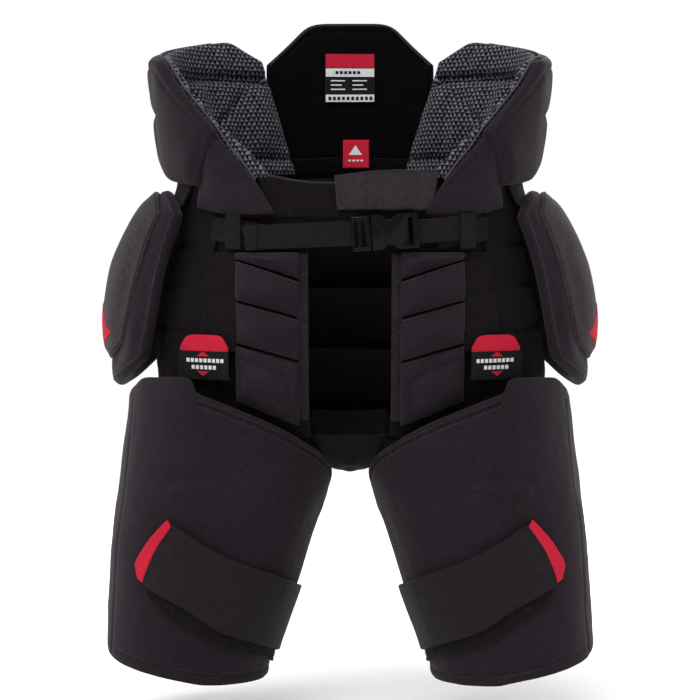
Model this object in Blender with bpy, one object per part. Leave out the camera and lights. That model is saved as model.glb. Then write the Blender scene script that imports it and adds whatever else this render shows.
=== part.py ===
"""Hockey girdle pants: a padded waist, floating hip pads and two strapped thigh guards.

Metres, +Z up, the wearer faces -Y, the wearer's left is +X, and the leg hems stand on z = 0.
Every soft piece is a slab that follows one of three body forms at a stated distance from it.
"""

import math

import bmesh
import bpy
from mathutils import Matrix, Vector

MM = 0.001

# Driving dimensions, in millimetres unless the name says otherwise.
HEIGHT = 534.0
WEBBING = 20.0
WEBBING_THICK = 1.8
STRAP_THICK = 2.2
FABRIC = 1.5
GAP = 0.9
FOAM = 10.0
HIP_FOAM = 14.0
HIP_PIVOT_Z = 300.0
SLEEVE_RADIUS = 145.0
LEAN = 2.3  # exponent of the body's rounded cross-sections: 2 is an ellipse

# Wearer's trunk: height, half width, half depth.
TRUNK_ROWS = [
    (150, 134, 60),
    (190, 142, 66),
    (230, 146, 79),
    (270, 143, 86),
    (310, 136, 86),
    (350, 127, 83),
    (385, 129, 84),
    (405, 135, 87),
    (445, 141, 92),
    (500, 147.5, 97),
    (545, 152, 101),
]
# Wearer's thigh: height, centre's distance from the middle, half width, half depth.
THIGH_ROWS = [
    (-5, 130, 52, 54),
    (26, 127, 54, 58),
    (76, 117, 62, 64),
    (122, 108, 67.5, 70),
    (152, 99.5, 71, 75),
    (175, 95, 73, 79),
    (210, 91, 73, 84),
    (245, 88, 72, 88),
]
# Inner face of the hip pad: height, half width, half depth.
HIP_ROWS = [
    (220, 179, 94),
    (250, 174.5, 96),
    (290, 171, 93),
    (314, 167, 91),
    (338, 160, 88),
    (364, 146, 85),
    (392, 133.5, 82),
]

# Back pad, seat and tailbone.
BACK_FOOT = 408.0
SEAT_SEAMS = (213.0, 260.0, 310.0, 356.0)
SEAT_HALF = 62.0
# Waist: edges as (degrees round the trunk, height).
KIDNEY_FRONT = [(54.5, 428), (61, 447), (69, 469), (75, 488)]
KIDNEY_TOP = [(90, 494), (110, 505), (127, 514), (138, 500)]
LINER_EDGE = [(51, 422), (59, 442), (68, 465), (76, 485), (92, 491), (110, 501), (127, 510), (142, 495)]
LINER_THICK = 3.2
# Each groin block: the heights of its upper and lower edges at the inner and outer ends.
GROIN_IN, GROIN_OUT = 33.0, 86.0
GROIN_BLOCKS = [
    ((334, 333), (312.5, 329)),
    ((311, 327.5), (284, 297.5)),
    ((282.5, 296), (252, 265)),
    ((250.5, 263.5), (202, 222)),
]
# The gusset's line from the seat to the front: y, height, half width.
GUSSET_ROWS = [
    (69, 206, 31),
    (60, 184, 30),
    (36, 168, 20),
    (0, 161, 12),
    (-34, 166.5, 11),
    (-52, 175, 14),
    (-62, 190, 22),
]
# Waist flap and belt.
FLAP_ROOT, FLAP_OUTER = 49.0, 8.0
BELT_Z = 348.0
BELT_LIFT = 7.0
# Buckle: its own x runs along the belt, y through it and z up, from where its halves meet.
BUCKLE_X = 16.0
BUCKLE_TILT = math.radians(4.0)
BUCKLE_TURN = math.radians(4.2)
BUCKLE_HEIGHT, BUCKLE_DEPTH = 27.0, 9.0
PLUG_LENGTH, PLUG_DEPTH, SOCKET_LENGTH = 15.0, 7.2, 36.0
HALVES_GAP = 0.8
CAVITY = (24.0, 6.0, 21.2)  # length, depth and height inside the socket
WINDOW = (9.0, 19.0, 6.8)  # start and end along the socket, and depth
SOCKET_SLOT = (28.5, 32.0)
PLUG_SLOTS = ((-13.0, -10.4), (-7.4, -4.6))
THROUGH = 20.0
PRONG_ROOT, PRONG_THICK = 6.9, 4.4
PRONG_OUTLINE = [(0, 5.6), (10, 6.4), (19, 7.4), (20, 8.2), (17, 9.9), (12, 9.9), (10, 8.8), (0, 8.2)]
# Hips and legs.
HIP_HINGE = (147.0, 385.0)
CAP_CROWN = 6.0
GUARD_TOP = [
    (-104, 148),
    (-90, 152),
    (-68, 168),
    (-45, 188),
    (-17, 207.5),
    (5, 221),
    (16, 227),
    (24, 236),
    (48, 236),
    (60, 222),
    (100, 218),
    (125, 212),
    (150, 190),
]
GUARD_FOOT = [(-104, 4), (-75, 0), (-45, 0), (-15, 0), (10, 5), (45, 13), (90, 25), (120, 24), (150, 16)]
GUARD_IN, GUARD_OUT = 9.0, 12.2
GUARD_LINER = (3.3, 7.0)
# Edges of the thigh strap: degrees, height.
STRAP_LOW = [(-208, 20), (-150, 18), (-100, 21), (-52, 28), (-20, 43), (6, 62), (34, 75)]
STRAP_TOP = [(-208, 72), (-150, 71), (-100, 74), (-52, 77), (-32, 85), (-20, 95), (0, 110), (20, 128)]
STRAP_TIP = ((40, 92), (40, 96))
STRAP_HINGE = -41.0
STRAP_OUT = 16.1
TAB_IN, TAB_OUT = 11.0, 13.4
HEM_RISE = 12.0
SMOOTH_BELOW = math.radians(40)

BLACK_CLOTH = ("black_cloth", (0.016, 0.015, 0.017), 0.85, 0.0)
BLACK_STRETCH = ("black_stretch", (0.010, 0.010, 0.011), 0.9, 0.0)
GREY_LINER = ("grey_liner", (0.11, 0.115, 0.13), 0.9, 0.0)
WEB = ("webbing", (0.018, 0.018, 0.018), 0.7, 0.0)
HOOK_LOOP = ("hook_and_loop", (0.020, 0.016, 0.018), 0.95, 0.0)
RED_CLOTH = ("red_cloth", (0.62, 0.012, 0.03), 0.7, 0.0)
BLACK_PLASTIC = ("black_plastic", (0.012, 0.012, 0.013), 0.4, 0.0)
GREY_FOAM = ("foam", (0.05, 0.05, 0.052), 0.9, 0.0)
LABEL_PRINT = ("label_print", (0.5, 0.02, 0.02), 0.6, 0.0)


def material(spec):
    """The named Principled material, made once."""
    name, colour, roughness, metallic = spec
    made = bpy.data.materials.get(name)
    if made is None:
        made = bpy.data.materials.new(name)
        made.use_nodes = True
        shader = made.node_tree.nodes["Principled BSDF"]
        shader.inputs["Base Color"].default_value = (*colour, 1.0)
        shader.inputs["Roughness"].default_value = roughness
        shader.inputs["Metallic"].default_value = metallic
    return made


def solid(name, bm, spec):
    """A new object from a bmesh, with its faces turned outwards and its material."""
    bmesh.ops.recalc_face_normals(bm, faces=bm.faces)
    if bm.calc_volume(signed=True) < 0:
        bmesh.ops.reverse_faces(bm, faces=bm.faces)
    mesh = bpy.data.meshes.new(name)
    bm.to_mesh(mesh)
    bm.free()
    mesh.materials.append(material(spec))
    mesh.shade_smooth()
    mesh.set_sharp_from_angle(angle=SMOOTH_BELOW)
    obj = bpy.data.objects.new(name, mesh)
    bpy.context.scene.collection.objects.link(obj)
    return obj


def along_table(rows, height):
    """The values at a height, on a smooth curve through the rows."""
    last = len(rows) - 2
    first = 0
    while first < last and height > rows[first + 1][0]:
        first += 1
    before, start = rows[max(first - 1, 0)], rows[first]
    end, after = rows[first + 1], rows[min(first + 2, last + 1)]
    span = end[0] - start[0]
    t = min(max((height - start[0]) / span, 0.0), 1.0)
    found = []
    for k in range(1, len(start)):
        slope_in = (end[k] - before[k]) / (end[0] - before[0]) * span
        slope_out = (after[k] - start[k]) / (after[0] - start[0]) * span
        rise = end[k] - start[k]
        found.append(
            start[k]
            + slope_in * t
            + (3 * rise - 2 * slope_in - slope_out) * t * t
            + (slope_in + slope_out - 2 * rise) * t**3
        )
    return found


def rounded(angle, half_width, half_depth, power=LEAN):
    """(sideways, backwards) on a rounded cross-section, at an angle from the front."""
    across, ahead = math.sin(angle), math.cos(angle)
    share = (abs(across) / half_width) ** power + (abs(ahead) / half_depth) ** power
    reach = share ** (-1 / power)
    return reach * across, -reach * ahead


def trunk(degrees, height):
    """A point on the trunk; 0 degrees is the front and 90 the wearer's left."""
    half_width, half_depth = along_table(TRUNK_ROWS, height)
    x, y = rounded(math.radians(degrees), half_width, half_depth)
    return Vector((x, y, height))


def trunk_across(x, height):
    """A point on the trunk's front, by its distance from the middle."""
    half_width, half_depth = along_table(TRUNK_ROWS, height)
    share = max(1 - (abs(x) / half_width) ** LEAN, 0.0)
    return Vector((x, -half_depth * share ** (1 / LEAN), height))


def trunk_back(x, height):
    """A point on the trunk's back, by its distance from the middle."""
    point = trunk_across(x, height)
    return Vector((x, -point.y, height))


def thigh(degrees, height):
    """A point on the left thigh; 0 degrees is the front and 90 the outer side."""
    centre, half_width, half_depth = along_table(THIGH_ROWS, height)
    x, y = rounded(math.radians(degrees), half_width, half_depth)
    return Vector((centre + x, y, height))


def hip(degrees, height):
    """A point on the left hip pad's inner face."""
    half_width, half_depth = along_table(HIP_ROWS, height)
    x, y = rounded(math.radians(degrees), half_width, half_depth)
    return Vector((x, y, height))


AXIS_X = {trunk: 0.0, trunk_across: 0.0, trunk_back: 0.0, hip: 0.0}


def lifted(form, u, v, distance):
    """The point that stands this far off a form, along its outward normal."""
    step = 0.05
    point = form(u, v)
    along_u = form(u + step, v) - form(u - step, v)
    along_v = form(u, v + step) - form(u, v - step)
    normal = along_u.cross(along_v).normalized()
    centre_x = along_table(THIGH_ROWS, v)[0] if form is thigh else AXIS_X[form]
    outward = Vector((point.x - centre_x, point.y, 0.0))
    if normal.dot(outward) < 0:
        normal.negate()
    return point + normal * distance


def on_line(points, share):
    """The point at a share of the way along a list of points, evenly by number."""
    place = share * (len(points) - 1)
    first = min(int(place), len(points) - 2)
    t = place - first
    return [a + (b - a) * t for a, b in zip(points[first], points[first + 1])]


def slab(name, form, lower, upper, inner, outer, spec, side=1, cells=(8, 4), crown=0.0):
    """A pad between two edges drawn on a form, from one distance off it to another.

    lower and upper are lists of (u, height) on the form. crown is how far the outer face
    swells in the middle, beyond its rim.
    """
    bm = bmesh.new()
    bmesh.ops.create_grid(bm, x_segments=cells[0], y_segments=cells[1], size=0.5)
    face_up = list(bm.verts)
    made = bmesh.ops.extrude_face_region(bm, geom=bm.faces[:])
    face_down = [v for v in made["geom"] if isinstance(v, bmesh.types.BMVert)]
    for verts, distance, swell in ((face_up, outer, crown), (face_down, inner, 0.0)):
        for vert in verts:
            across, up = vert.co.x + 0.5, vert.co.y + 0.5
            low, high = on_line(lower, across), on_line(upper, across)
            u = low[0] + (high[0] - low[0]) * up
            height = low[1] + (high[1] - low[1]) * up
            bulge = swell * (1 - (2 * across - 1) ** 4) * (1 - (2 * up - 1) ** 4)
            point = lifted(form, u, height, distance + bulge)
            vert.co = Vector((point.x * side, point.y, point.z)) * MM
    return solid(name, bm, spec)


def tube(name, form, top_of, bottom_of, inner, outer, spec, side=1, turns=24, rings=5):
    """A closed sleeve round a form, between a bottom and a top that depend on the angle."""
    bm = bmesh.new()
    loops = []
    for distance, order in ((outer, range(rings + 1)), (inner, range(rings, -1, -1))):
        for ring in order:
            loop = []
            for turn in range(turns):
                degrees = 360 * turn / turns
                low, high = bottom_of(degrees), top_of(degrees)
                height = low + (high - low) * ring / rings
                point = lifted(form, degrees, height, distance)
                loop.append(bm.verts.new(Vector((point.x * side, point.y, point.z)) * MM))
            loops.append(loop)
    for first, second in zip(loops, loops[1:] + loops[:1]):
        for k in range(turns):
            n = (k + 1) % turns
            bm.faces.new((first[k], first[n], second[n], second[k]))
    return solid(name, bm, spec)


def block(name, low, high, spec, rim=0.0):
    """A box between two corners, in millimetres, with its edges broken by rim."""
    bm = bmesh.new()
    bmesh.ops.create_cube(bm, size=1.0)
    for vert in bm.verts:
        vert.co = Vector([low[k] + (high[k] - low[k]) * (vert.co[k] + 0.5) for k in range(3)]) * MM
    if rim:
        bmesh.ops.bevel(bm, geom=bm.edges[:], offset=rim * MM, segments=1, affect="EDGES")
    return solid(name, bm, spec)


def combine(obj, other, operation):
    """Cuts a helper from an object, or joins it on, and hides the helper."""
    modifier = obj.modifiers.new(operation.lower(), "BOOLEAN")
    modifier.operation = operation
    modifier.object = other
    other.hide_render = True
    other.display_type = "WIRE"


def joint(name, pivot, pieces, holder=None):
    """An empty on a joint's axis, which then carries the pieces."""
    empty = bpy.data.objects.new(name, None)
    bpy.context.scene.collection.objects.link(empty)
    pivot = Vector(pivot) * MM
    base = Vector(holder["pivot"]) if holder else Vector((0, 0, 0))
    empty.location = pivot - base
    empty.parent = holder
    empty["pivot"] = pivot
    for piece in pieces:
        piece.data.transform(Matrix.Translation(-pivot))
        piece.parent = empty
    return empty


# --- the trunk ----------------------------------------------------------------------

def build_back():
    """The high back pad, the seat with its quilted blocks, and the tailbone pad."""
    slab(
        "back_pad",
        trunk_back,
        [(-66, BACK_FOOT), (0, BACK_FOOT), (66, BACK_FOOT)],
        [(-68, 497), (-51, 514), (-33, HEIGHT), (0, HEIGHT), (33, HEIGHT), (51, 514), (68, 497)],
        7.0,
        20.0,
        BLACK_CLOTH,
        cells=(12, 4),
    )
    slab(
        "seat_panel",
        trunk,
        [(118, 176), (135, 184), (160, 189), (180, 189), (200, 189), (225, 184), (242, 176)],
        [(118, 397), (140, 400), (160, 405), (200, 405), (220, 400), (242, 397)],
        FOAM,
        FOAM + FABRIC,
        BLACK_STRETCH,
        cells=(12, 6),
    )
    for number, (low, high) in enumerate(zip(SEAT_SEAMS, SEAT_SEAMS[1:]), start=1):
        slab(
            f"seat_block_{number}",
            trunk_back,
            [(-SEAT_HALF, low), (SEAT_HALF, low)],
            [(-SEAT_HALF, high - FABRIC), (SEAT_HALF, high - FABRIC)],
            0.0,
            FOAM - GAP - 0.8,
            BLACK_STRETCH,
            cells=(6, 2),
        )
    slab(
        "tailbone_pad",
        trunk_back,
        [(-22, 206), (0, 202), (22, 206)],
        [(-40, 338), (0, 342), (40, 338)],
        FOAM + FABRIC + GAP + 0.4,
        FOAM + FABRIC + 11,
        BLACK_CLOTH,
        cells=(4, 5),
        crown=2.0,
    )


def build_trunk_side(side, word):
    """One side of the waist: kidney pad, liner, front wing, stretch panels and groin pads."""
    slab(
        f"kidney_pad_{word}",
        trunk,
        [(63, 390), (88, 399), (113, 403), (136, 405)],
        KIDNEY_FRONT + KIDNEY_TOP,
        4.7,
        16.4,
        BLACK_CLOTH,
        side,
        cells=(14, 4),
    )
    slab(
        f"kidney_liner_{word}",
        trunk,
        [(48, 404), (80, 400), (110, 402), (154, 405)],
        LINER_EDGE,
        0.0,
        LINER_THICK,
        GREY_LINER,
        side,
        cells=(14, 4),
    )
    slab(
        f"waist_wing_{word}",
        trunk,
        [(33.5, 365), (45, 365), (56, 366), (66.5, 368)],
        [(38, 397), (43, 405), (48, 416), (53, 428)],
        4.2,
        14.0,
        BLACK_CLOTH,
        side,
        cells=(6, 4),
    )
    slab(
        f"front_panel_{word}",
        trunk,
        [(24.5, 193), (38, 187), (52, 184), (65, 184)],
        [(21.5, 357), (40, 357), (52, 357), (65, 357)],
        0.0,
        FABRIC,
        BLACK_STRETCH,
        side,
        cells=(6, 6),
    )
    slab(
        f"side_panel_{word}",
        trunk,
        [(66.5, 216), (90, 210), (116.5, 206)],
        [(68, 383), (90, 395), (116.5, 399)],
        0.8,
        0.8 + 2 * FABRIC,
        BLACK_STRETCH,
        side,
        cells=(6, 6),
    )
    slab(
        f"hook_strip_{word}",
        trunk_across,
        [(90, 262), (109, 262)],
        [(88, 331), (107, 331)],
        FABRIC + GAP,
        FABRIC + GAP + 1.6,
        HOOK_LOOP,
        side,
        cells=(3, 4),
    )
    for number, ((top_in, top_out), (low_in, low_out)) in enumerate(GROIN_BLOCKS, start=1):
        slab(
            f"groin_block_{number}_{word}",
            trunk_across,
            [(GROIN_IN, low_in), (GROIN_OUT, low_out)],
            [(GROIN_IN, top_in), (GROIN_OUT, top_out)],
            FABRIC + GAP,
            FABRIC + FOAM,
            BLACK_CLOTH,
            side,
            cells=(4, 2 if number < len(GROIN_BLOCKS) else 3),
        )


def build_crotch():
    """The stretch gusset that runs between the legs from the seat to the front."""
    bm = bmesh.new()
    rings = []
    for wall in (0.0, FABRIC):
        for y, z, half_width in GUSSET_ROWS:
            inward = Vector((0, -y, HIP_PIVOT_Z - z)).normalized() * wall
            corners = (Vector((x, y, z)) + inward for x in (-half_width, half_width))
            rings.append([bm.verts.new(corner * MM) for corner in corners])
    count = len(GUSSET_ROWS)
    outside, inside = rings[:count], rings[count:]
    around = outside + inside[::-1]
    for first, second in zip(around, around[1:] + around[:1]):
        bm.faces.new((first[0], first[1], second[1], second[0]))
    for edge in (0, 1):
        for k in range(count - 1):
            corners = (outside[k], outside[k + 1], inside[k + 1], inside[k])
            bm.faces.new([corner[edge] for corner in corners])
    solid("crotch_gusset", bm, BLACK_STRETCH)


# --- the waist closure ----------------------------------------------------------------

def build_waist():
    """The waistband, its overlapping flap, the labels, the belt and the belt loops."""
    slab(
        "waistband",
        trunk_across,
        [(-60, 361), (0, 359), (60, 361)],
        [(-72, 397), (-36, 389), (0, 388), (36, 389), (66, 396)],
        0.3,
        3.3,
        HOOK_LOOP,
        cells=(10, 2),
    )
    flap = slab(
        "waist_flap",
        trunk_across,
        [(-10, 366.5), (20, 366.5), (FLAP_ROOT, 366.5)],
        [(-12, 394), (20, 398), (FLAP_ROOT, 398)],
        5.0,
        FLAP_OUTER,
        WEB,
        cells=(6, 2),
    )
    joint("flap_hinge", lifted(trunk_across, FLAP_ROOT, 382, FLAP_OUTER), [flap])
    slab(
        "size_label",
        trunk_back,
        [(-21, 464), (21, 464)],
        [(-21, 506), (21, 506)],
        5.2,
        6.2,
        LABEL_PRINT,
        cells=(3, 2),
    )
    slab(
        "hang_tab",
        trunk_back,
        [(-6, 409), (16, 409)],
        [(-6, 433), (16, 433)],
        5.2,
        6.2,
        RED_CLOTH,
        cells=(2, 2),
    )
    for side, word in ((1, "left"), (-1, "right")):
        slab(
            f"belt_anchor_{word}",
            trunk_across,
            [(66, BELT_Z - 12), (110, BELT_Z - 3)],
            [(66, BELT_Z + 8), (110, BELT_Z + 17)],
            3.4,
            3.4 + WEBBING_THICK,
            WEB,
            side,
            cells=(5, 2),
        )
        slab(
            f"belt_loop_{word}",
            trunk_across,
            [(82, BELT_Z - 12), (91, BELT_Z - 11)],
            [(82, BELT_Z + 15.5), (91, BELT_Z + 16)],
            6.2,
            8.0,
            WEB,
            side,
            cells=(2, 2),
        )
    build_strap("belt_strap_left", 52.0, 80.0, 1.0, 5.0)


def build_strap(name, start, end, rise_start, rise_end):
    """A stretch of the waist belt across the front."""
    return slab(
        name,
        trunk_across,
        [(start, BELT_Z + rise_start - WEBBING / 2), (end, BELT_Z + rise_end - WEBBING / 2)],
        [(start, BELT_Z + rise_start + WEBBING / 2), (end, BELT_Z + rise_end + WEBBING / 2)],
        BELT_LIFT + 2.0,
        BELT_LIFT + 2.0 + WEBBING_THICK,
        WEB,
        cells=(7, 1),
    )


def cutter(name, span, half_depth, half_height):
    """A box to cut with, from one place to another along the buckle."""
    low = (span[0], -half_depth, -half_height)
    return block(name, low, (span[1], half_depth, half_height), BLACK_PLASTIC)


def build_buckle():
    """A side-release buckle: socket, plug and the plug's two sprung prongs."""
    front = lifted(trunk_across, BUCKLE_X + 10, BELT_Z, BELT_LIFT + BUCKLE_DEPTH / 2 - 1).y
    place = (
        Matrix.Translation(Vector((BUCKLE_X, front, BELT_Z + 0.5)) * MM)
        @ Matrix.Rotation(BUCKLE_TURN, 4, "Z")
        @ Matrix.Rotation(-BUCKLE_TILT, 4, "Y")
    )
    half_h, half_d = BUCKLE_HEIGHT / 2, BUCKLE_DEPTH / 2
    slit = WEBBING / 2 + 0.4
    meet = HALVES_GAP / 2
    socket_low, socket_high = (meet, -half_d, -half_h), (SOCKET_LENGTH, half_d, half_h)
    socket = block("buckle_socket", socket_low, socket_high, BLACK_PLASTIC, 1.2)
    plug_low, plug_high = (-PLUG_LENGTH, -PLUG_DEPTH / 2, -half_h), (-meet, PLUG_DEPTH / 2, half_h)
    plug = block("buckle_plug", plug_low, plug_high, BLACK_PLASTIC, 1.0)
    cutters = {
        cutter("cut_cavity", (-2.0, CAVITY[0]), CAVITY[1] / 2, CAVITY[2] / 2): socket,
        cutter("cut_windows", WINDOW[:2], WINDOW[2] / 2, THROUGH): socket,
        cutter("cut_socket_slot", SOCKET_SLOT, THROUGH, slit): socket,
    }
    for number, span in enumerate(PLUG_SLOTS, start=1):
        cutters[cutter(f"cut_plug_slot_{number}", span, THROUGH, slit)] = plug
    for tool, piece in cutters.items():
        combine(piece, tool, "DIFFERENCE")
    prongs = [build_prong(word, sign) for word, sign in (("upper", 1), ("lower", -1))]
    for piece in (socket, plug, *cutters, *prongs):
        piece.data.transform(place)
    strap = build_strap("belt_strap_right", -76.0, -0.5, 0.0, 0.0)
    belt = joint("belt_slide", place.translation / MM, [plug, strap])
    for prong, sign in zip(prongs, (1, -1)):
        pivot = place @ (Vector((0, 0, sign * PRONG_ROOT)) * MM)
        joint(f"{prong.name}_hinge", pivot / MM, [prong], belt)


def build_prong(word, sign):
    """A prong of the plug, along +X from its root."""
    bm = bmesh.new()
    low = [bm.verts.new(Vector((x, -PRONG_THICK / 2, sign * z)) * MM) for x, z in PRONG_OUTLINE]
    bm.faces.new(low)
    made = bmesh.ops.extrude_face_region(bm, geom=bm.faces[:])
    raised = [v for v in made["geom"] if isinstance(v, bmesh.types.BMVert)]
    bmesh.ops.translate(bm, verts=raised, vec=Vector((0, PRONG_THICK, 0)) * MM)
    return solid(f"buckle_prong_{word}", bm, BLACK_PLASTIC)


# --- hips and legs ----------------------------------------------------------------------


def build_hip(side, word):
    """The floating hip pad: a bound foam base and a domed cap over it."""
    base = slab(
        f"hip_base_{word}",
        hip,
        [(70, 248), (80, 234), (91, 226), (101, 231), (110, 248)],
        [(68, 366), (76, 380), (90, 385), (104, 380), (112, 366)],
        0.0,
        HIP_FOAM,
        BLACK_CLOTH,
        side,
        cells=(8, 6),
    )
    cap = slab(
        f"hip_cap_{word}",
        hip,
        [(76, 262), (84, 252), (92, 247), (100, 250), (107, 262)],
        [(73, 360), (80, 375), (90, 380), (100, 375), (107, 360)],
        HIP_FOAM + GAP + 0.3,
        HIP_FOAM + 3.0,
        BLACK_CLOTH,
        side,
        cells=(6, 6),
        crown=CAP_CROWN,
    )
    joint(f"hip_hinge_{word}", (side * HIP_HINGE[0], 0, HIP_HINGE[1]), [base, cap])


def read_edge(points, degrees):
    """The height of an edge that is given as (degrees, height) points."""
    for (a, low), (b, high) in zip(points, points[1:]):
        if degrees <= b:
            return low + (high - low) * (degrees - a) / (b - a)
    return points[-1][1]


def guard_edge(points, start, end, rise, count=9):
    """Part of the guard's edge, moved up or down."""
    places = [start + (end - start) * k / (count - 1) for k in range(count)]
    return [(p, read_edge(points, p) + rise) for p in places]


def sleeve_top(degrees):
    """The sleeve ends on an arc round the hip's axis, so the leg can swing."""
    y = thigh(degrees, 175).y
    return HIP_PIVOT_Z - math.sqrt(SLEEVE_RADIUS**2 - y**2)


def sleeve_foot(degrees):
    """Inside the guard the hem is short, and at the back it stands on the floor."""
    behind = 0.5 - 0.5 * math.cos(math.radians(degrees + 25))
    return HEM_RISE * (1 - min(1.0, max(0.0, (behind - 0.35) / 0.4)))


def build_leg(side, word):
    """The stretch sleeve and the thigh guard round it, with its strap and height tab."""
    sleeve = tube(f"leg_sleeve_{word}", thigh, sleeve_top, sleeve_foot, 0.0, FABRIC, BLACK_STRETCH, side)
    liner = slab(
        f"thigh_liner_{word}",
        thigh,
        guard_edge(GUARD_FOOT, -98, 144, 5.0, 12),
        guard_edge(GUARD_TOP, -98, 144, -13.0, 12),
        *GUARD_LINER,
        GREY_FOAM,
        side,
        cells=(20, 4),
    )
    guard = slab(
        f"thigh_guard_{word}",
        thigh,
        guard_edge(GUARD_FOOT, -104, 150, 0.0, 20),
        guard_edge(GUARD_TOP, -104, 150, 0.0, 20),
        GUARD_IN,
        GUARD_OUT,
        BLACK_CLOTH,
        side,
        cells=(22, 5),
    )
    patch = slab(
        f"strap_patch_{word}",
        thigh,
        [(-80, 12), (-52, 16), (-20, 31), (6, 50), (34, 66)],
        [(-80, 70), (-52, 72), (-20, 90), (6, 108), (26, 116)],
        13.9,
        14.8,
        HOOK_LOOP,
        side,
        cells=(12, 2),
    )
    strap = slab(
        f"thigh_strap_{word}",
        thigh,
        guard_edge(STRAP_LOW, STRAP_HINGE + 0.5, 34, 0.0, 5) + [STRAP_TIP[0]],
        guard_edge(STRAP_TOP, STRAP_HINGE + 0.5, 20, 0.0, 5) + [STRAP_TIP[1]],
        STRAP_OUT,
        STRAP_OUT + STRAP_THICK,
        WEB,
        side,
        cells=(10, 2),
    )
    wrap = slab(
        f"strap_wrap_{word}",
        thigh,
        guard_edge(STRAP_LOW, -208, STRAP_HINGE - 0.5, 0.0, 7),
        guard_edge(STRAP_TOP, -208, STRAP_HINGE - 0.5, 0.0, 7),
        STRAP_OUT,
        STRAP_OUT + STRAP_THICK,
        WEB,
        side,
        cells=(17, 2),
    )
    tab = slab(
        f"height_tab_{word}",
        trunk_across,
        [(89, 240), (106, 240), (122, 240)],
        [(90, 262), (95, 271), (117, 271), (122, 262)],
        TAB_IN,
        TAB_OUT,
        RED_CLOTH,
        side,
        cells=(4, 3),
    )
    leg = joint(f"leg_flex_{word}", (side * THIGH_ROWS[-1][1], 0, HIP_PIVOT_Z), [sleeve])
    foot = lifted(thigh, 0, 100, 0)
    slide = joint(f"thigh_height_{word}", (side * foot.x, 0, 100), [liner, guard, patch, wrap], leg)
    root = lifted(thigh, STRAP_HINGE, 56, STRAP_OUT + STRAP_THICK)
    joint(f"strap_hinge_{word}", (side * root.x, root.y, root.z), [strap], slide)
    low = lifted(trunk_across, 106, 240, TAB_OUT)
    joint(f"tab_hinge_{word}", (side * low.x, low.y, low.z), [tab], slide)


def main():
    """Builds the whole object."""
    for obj in list(bpy.data.objects):
        bpy.data.objects.remove(obj)
    build_back()
    build_crotch()
    build_waist()
    build_buckle()
    for side, word in ((1, "left"), (-1, "right")):
        build_trunk_side(side, word)
        build_hip(side, word)
        build_leg(side, word)


main()
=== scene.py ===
"""Looks of a padded hockey girdle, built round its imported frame.

Every soft piece is a Pad: a closed shell between two edges drawn on one of the body's
forms, swollen by a short cloth simulation, subdivided, and then pressed in along its seams.
Sizes inside the classes are in millimetres; the meshes are in metres.
"""

import itertools
import logging
import math
import sys
from dataclasses import dataclass, field
from enum import Enum

import bmesh
import bpy
import numpy as np
from mathutils import Matrix, Vector
from mathutils.bvhtree import BVHTree


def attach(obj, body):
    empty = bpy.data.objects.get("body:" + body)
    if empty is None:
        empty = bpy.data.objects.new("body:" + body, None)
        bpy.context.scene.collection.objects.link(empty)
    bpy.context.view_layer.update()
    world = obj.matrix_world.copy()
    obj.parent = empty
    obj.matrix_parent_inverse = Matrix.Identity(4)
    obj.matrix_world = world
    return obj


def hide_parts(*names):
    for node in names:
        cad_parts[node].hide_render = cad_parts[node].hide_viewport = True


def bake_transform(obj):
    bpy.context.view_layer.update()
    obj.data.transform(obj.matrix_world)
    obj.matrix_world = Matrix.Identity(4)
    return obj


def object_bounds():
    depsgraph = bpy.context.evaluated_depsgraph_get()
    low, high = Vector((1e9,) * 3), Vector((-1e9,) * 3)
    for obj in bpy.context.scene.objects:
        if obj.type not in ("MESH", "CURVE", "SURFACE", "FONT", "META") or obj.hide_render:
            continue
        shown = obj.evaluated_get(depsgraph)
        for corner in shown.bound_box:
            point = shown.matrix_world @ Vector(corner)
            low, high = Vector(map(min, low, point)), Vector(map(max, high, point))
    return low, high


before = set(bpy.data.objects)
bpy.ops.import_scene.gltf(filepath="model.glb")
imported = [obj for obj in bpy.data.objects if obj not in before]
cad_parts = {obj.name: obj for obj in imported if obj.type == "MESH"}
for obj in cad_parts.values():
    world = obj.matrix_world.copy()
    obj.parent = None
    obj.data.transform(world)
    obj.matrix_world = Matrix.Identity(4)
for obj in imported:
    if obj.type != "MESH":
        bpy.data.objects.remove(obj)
CAD_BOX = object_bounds()

MM = 0.001
LEAN = 2.3
WORDS = {1: "left", -1: "right"}
Points = list[tuple[float, float]]
log = logging.getLogger("girdle")


# --- body forms -------------------------------------------------------------------------


class Run(Enum):
    """How a form's first coordinate runs."""

    AROUND = "degrees from the front"
    FRONT = "distance across the front"
    BACK = "distance across the back"


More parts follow.
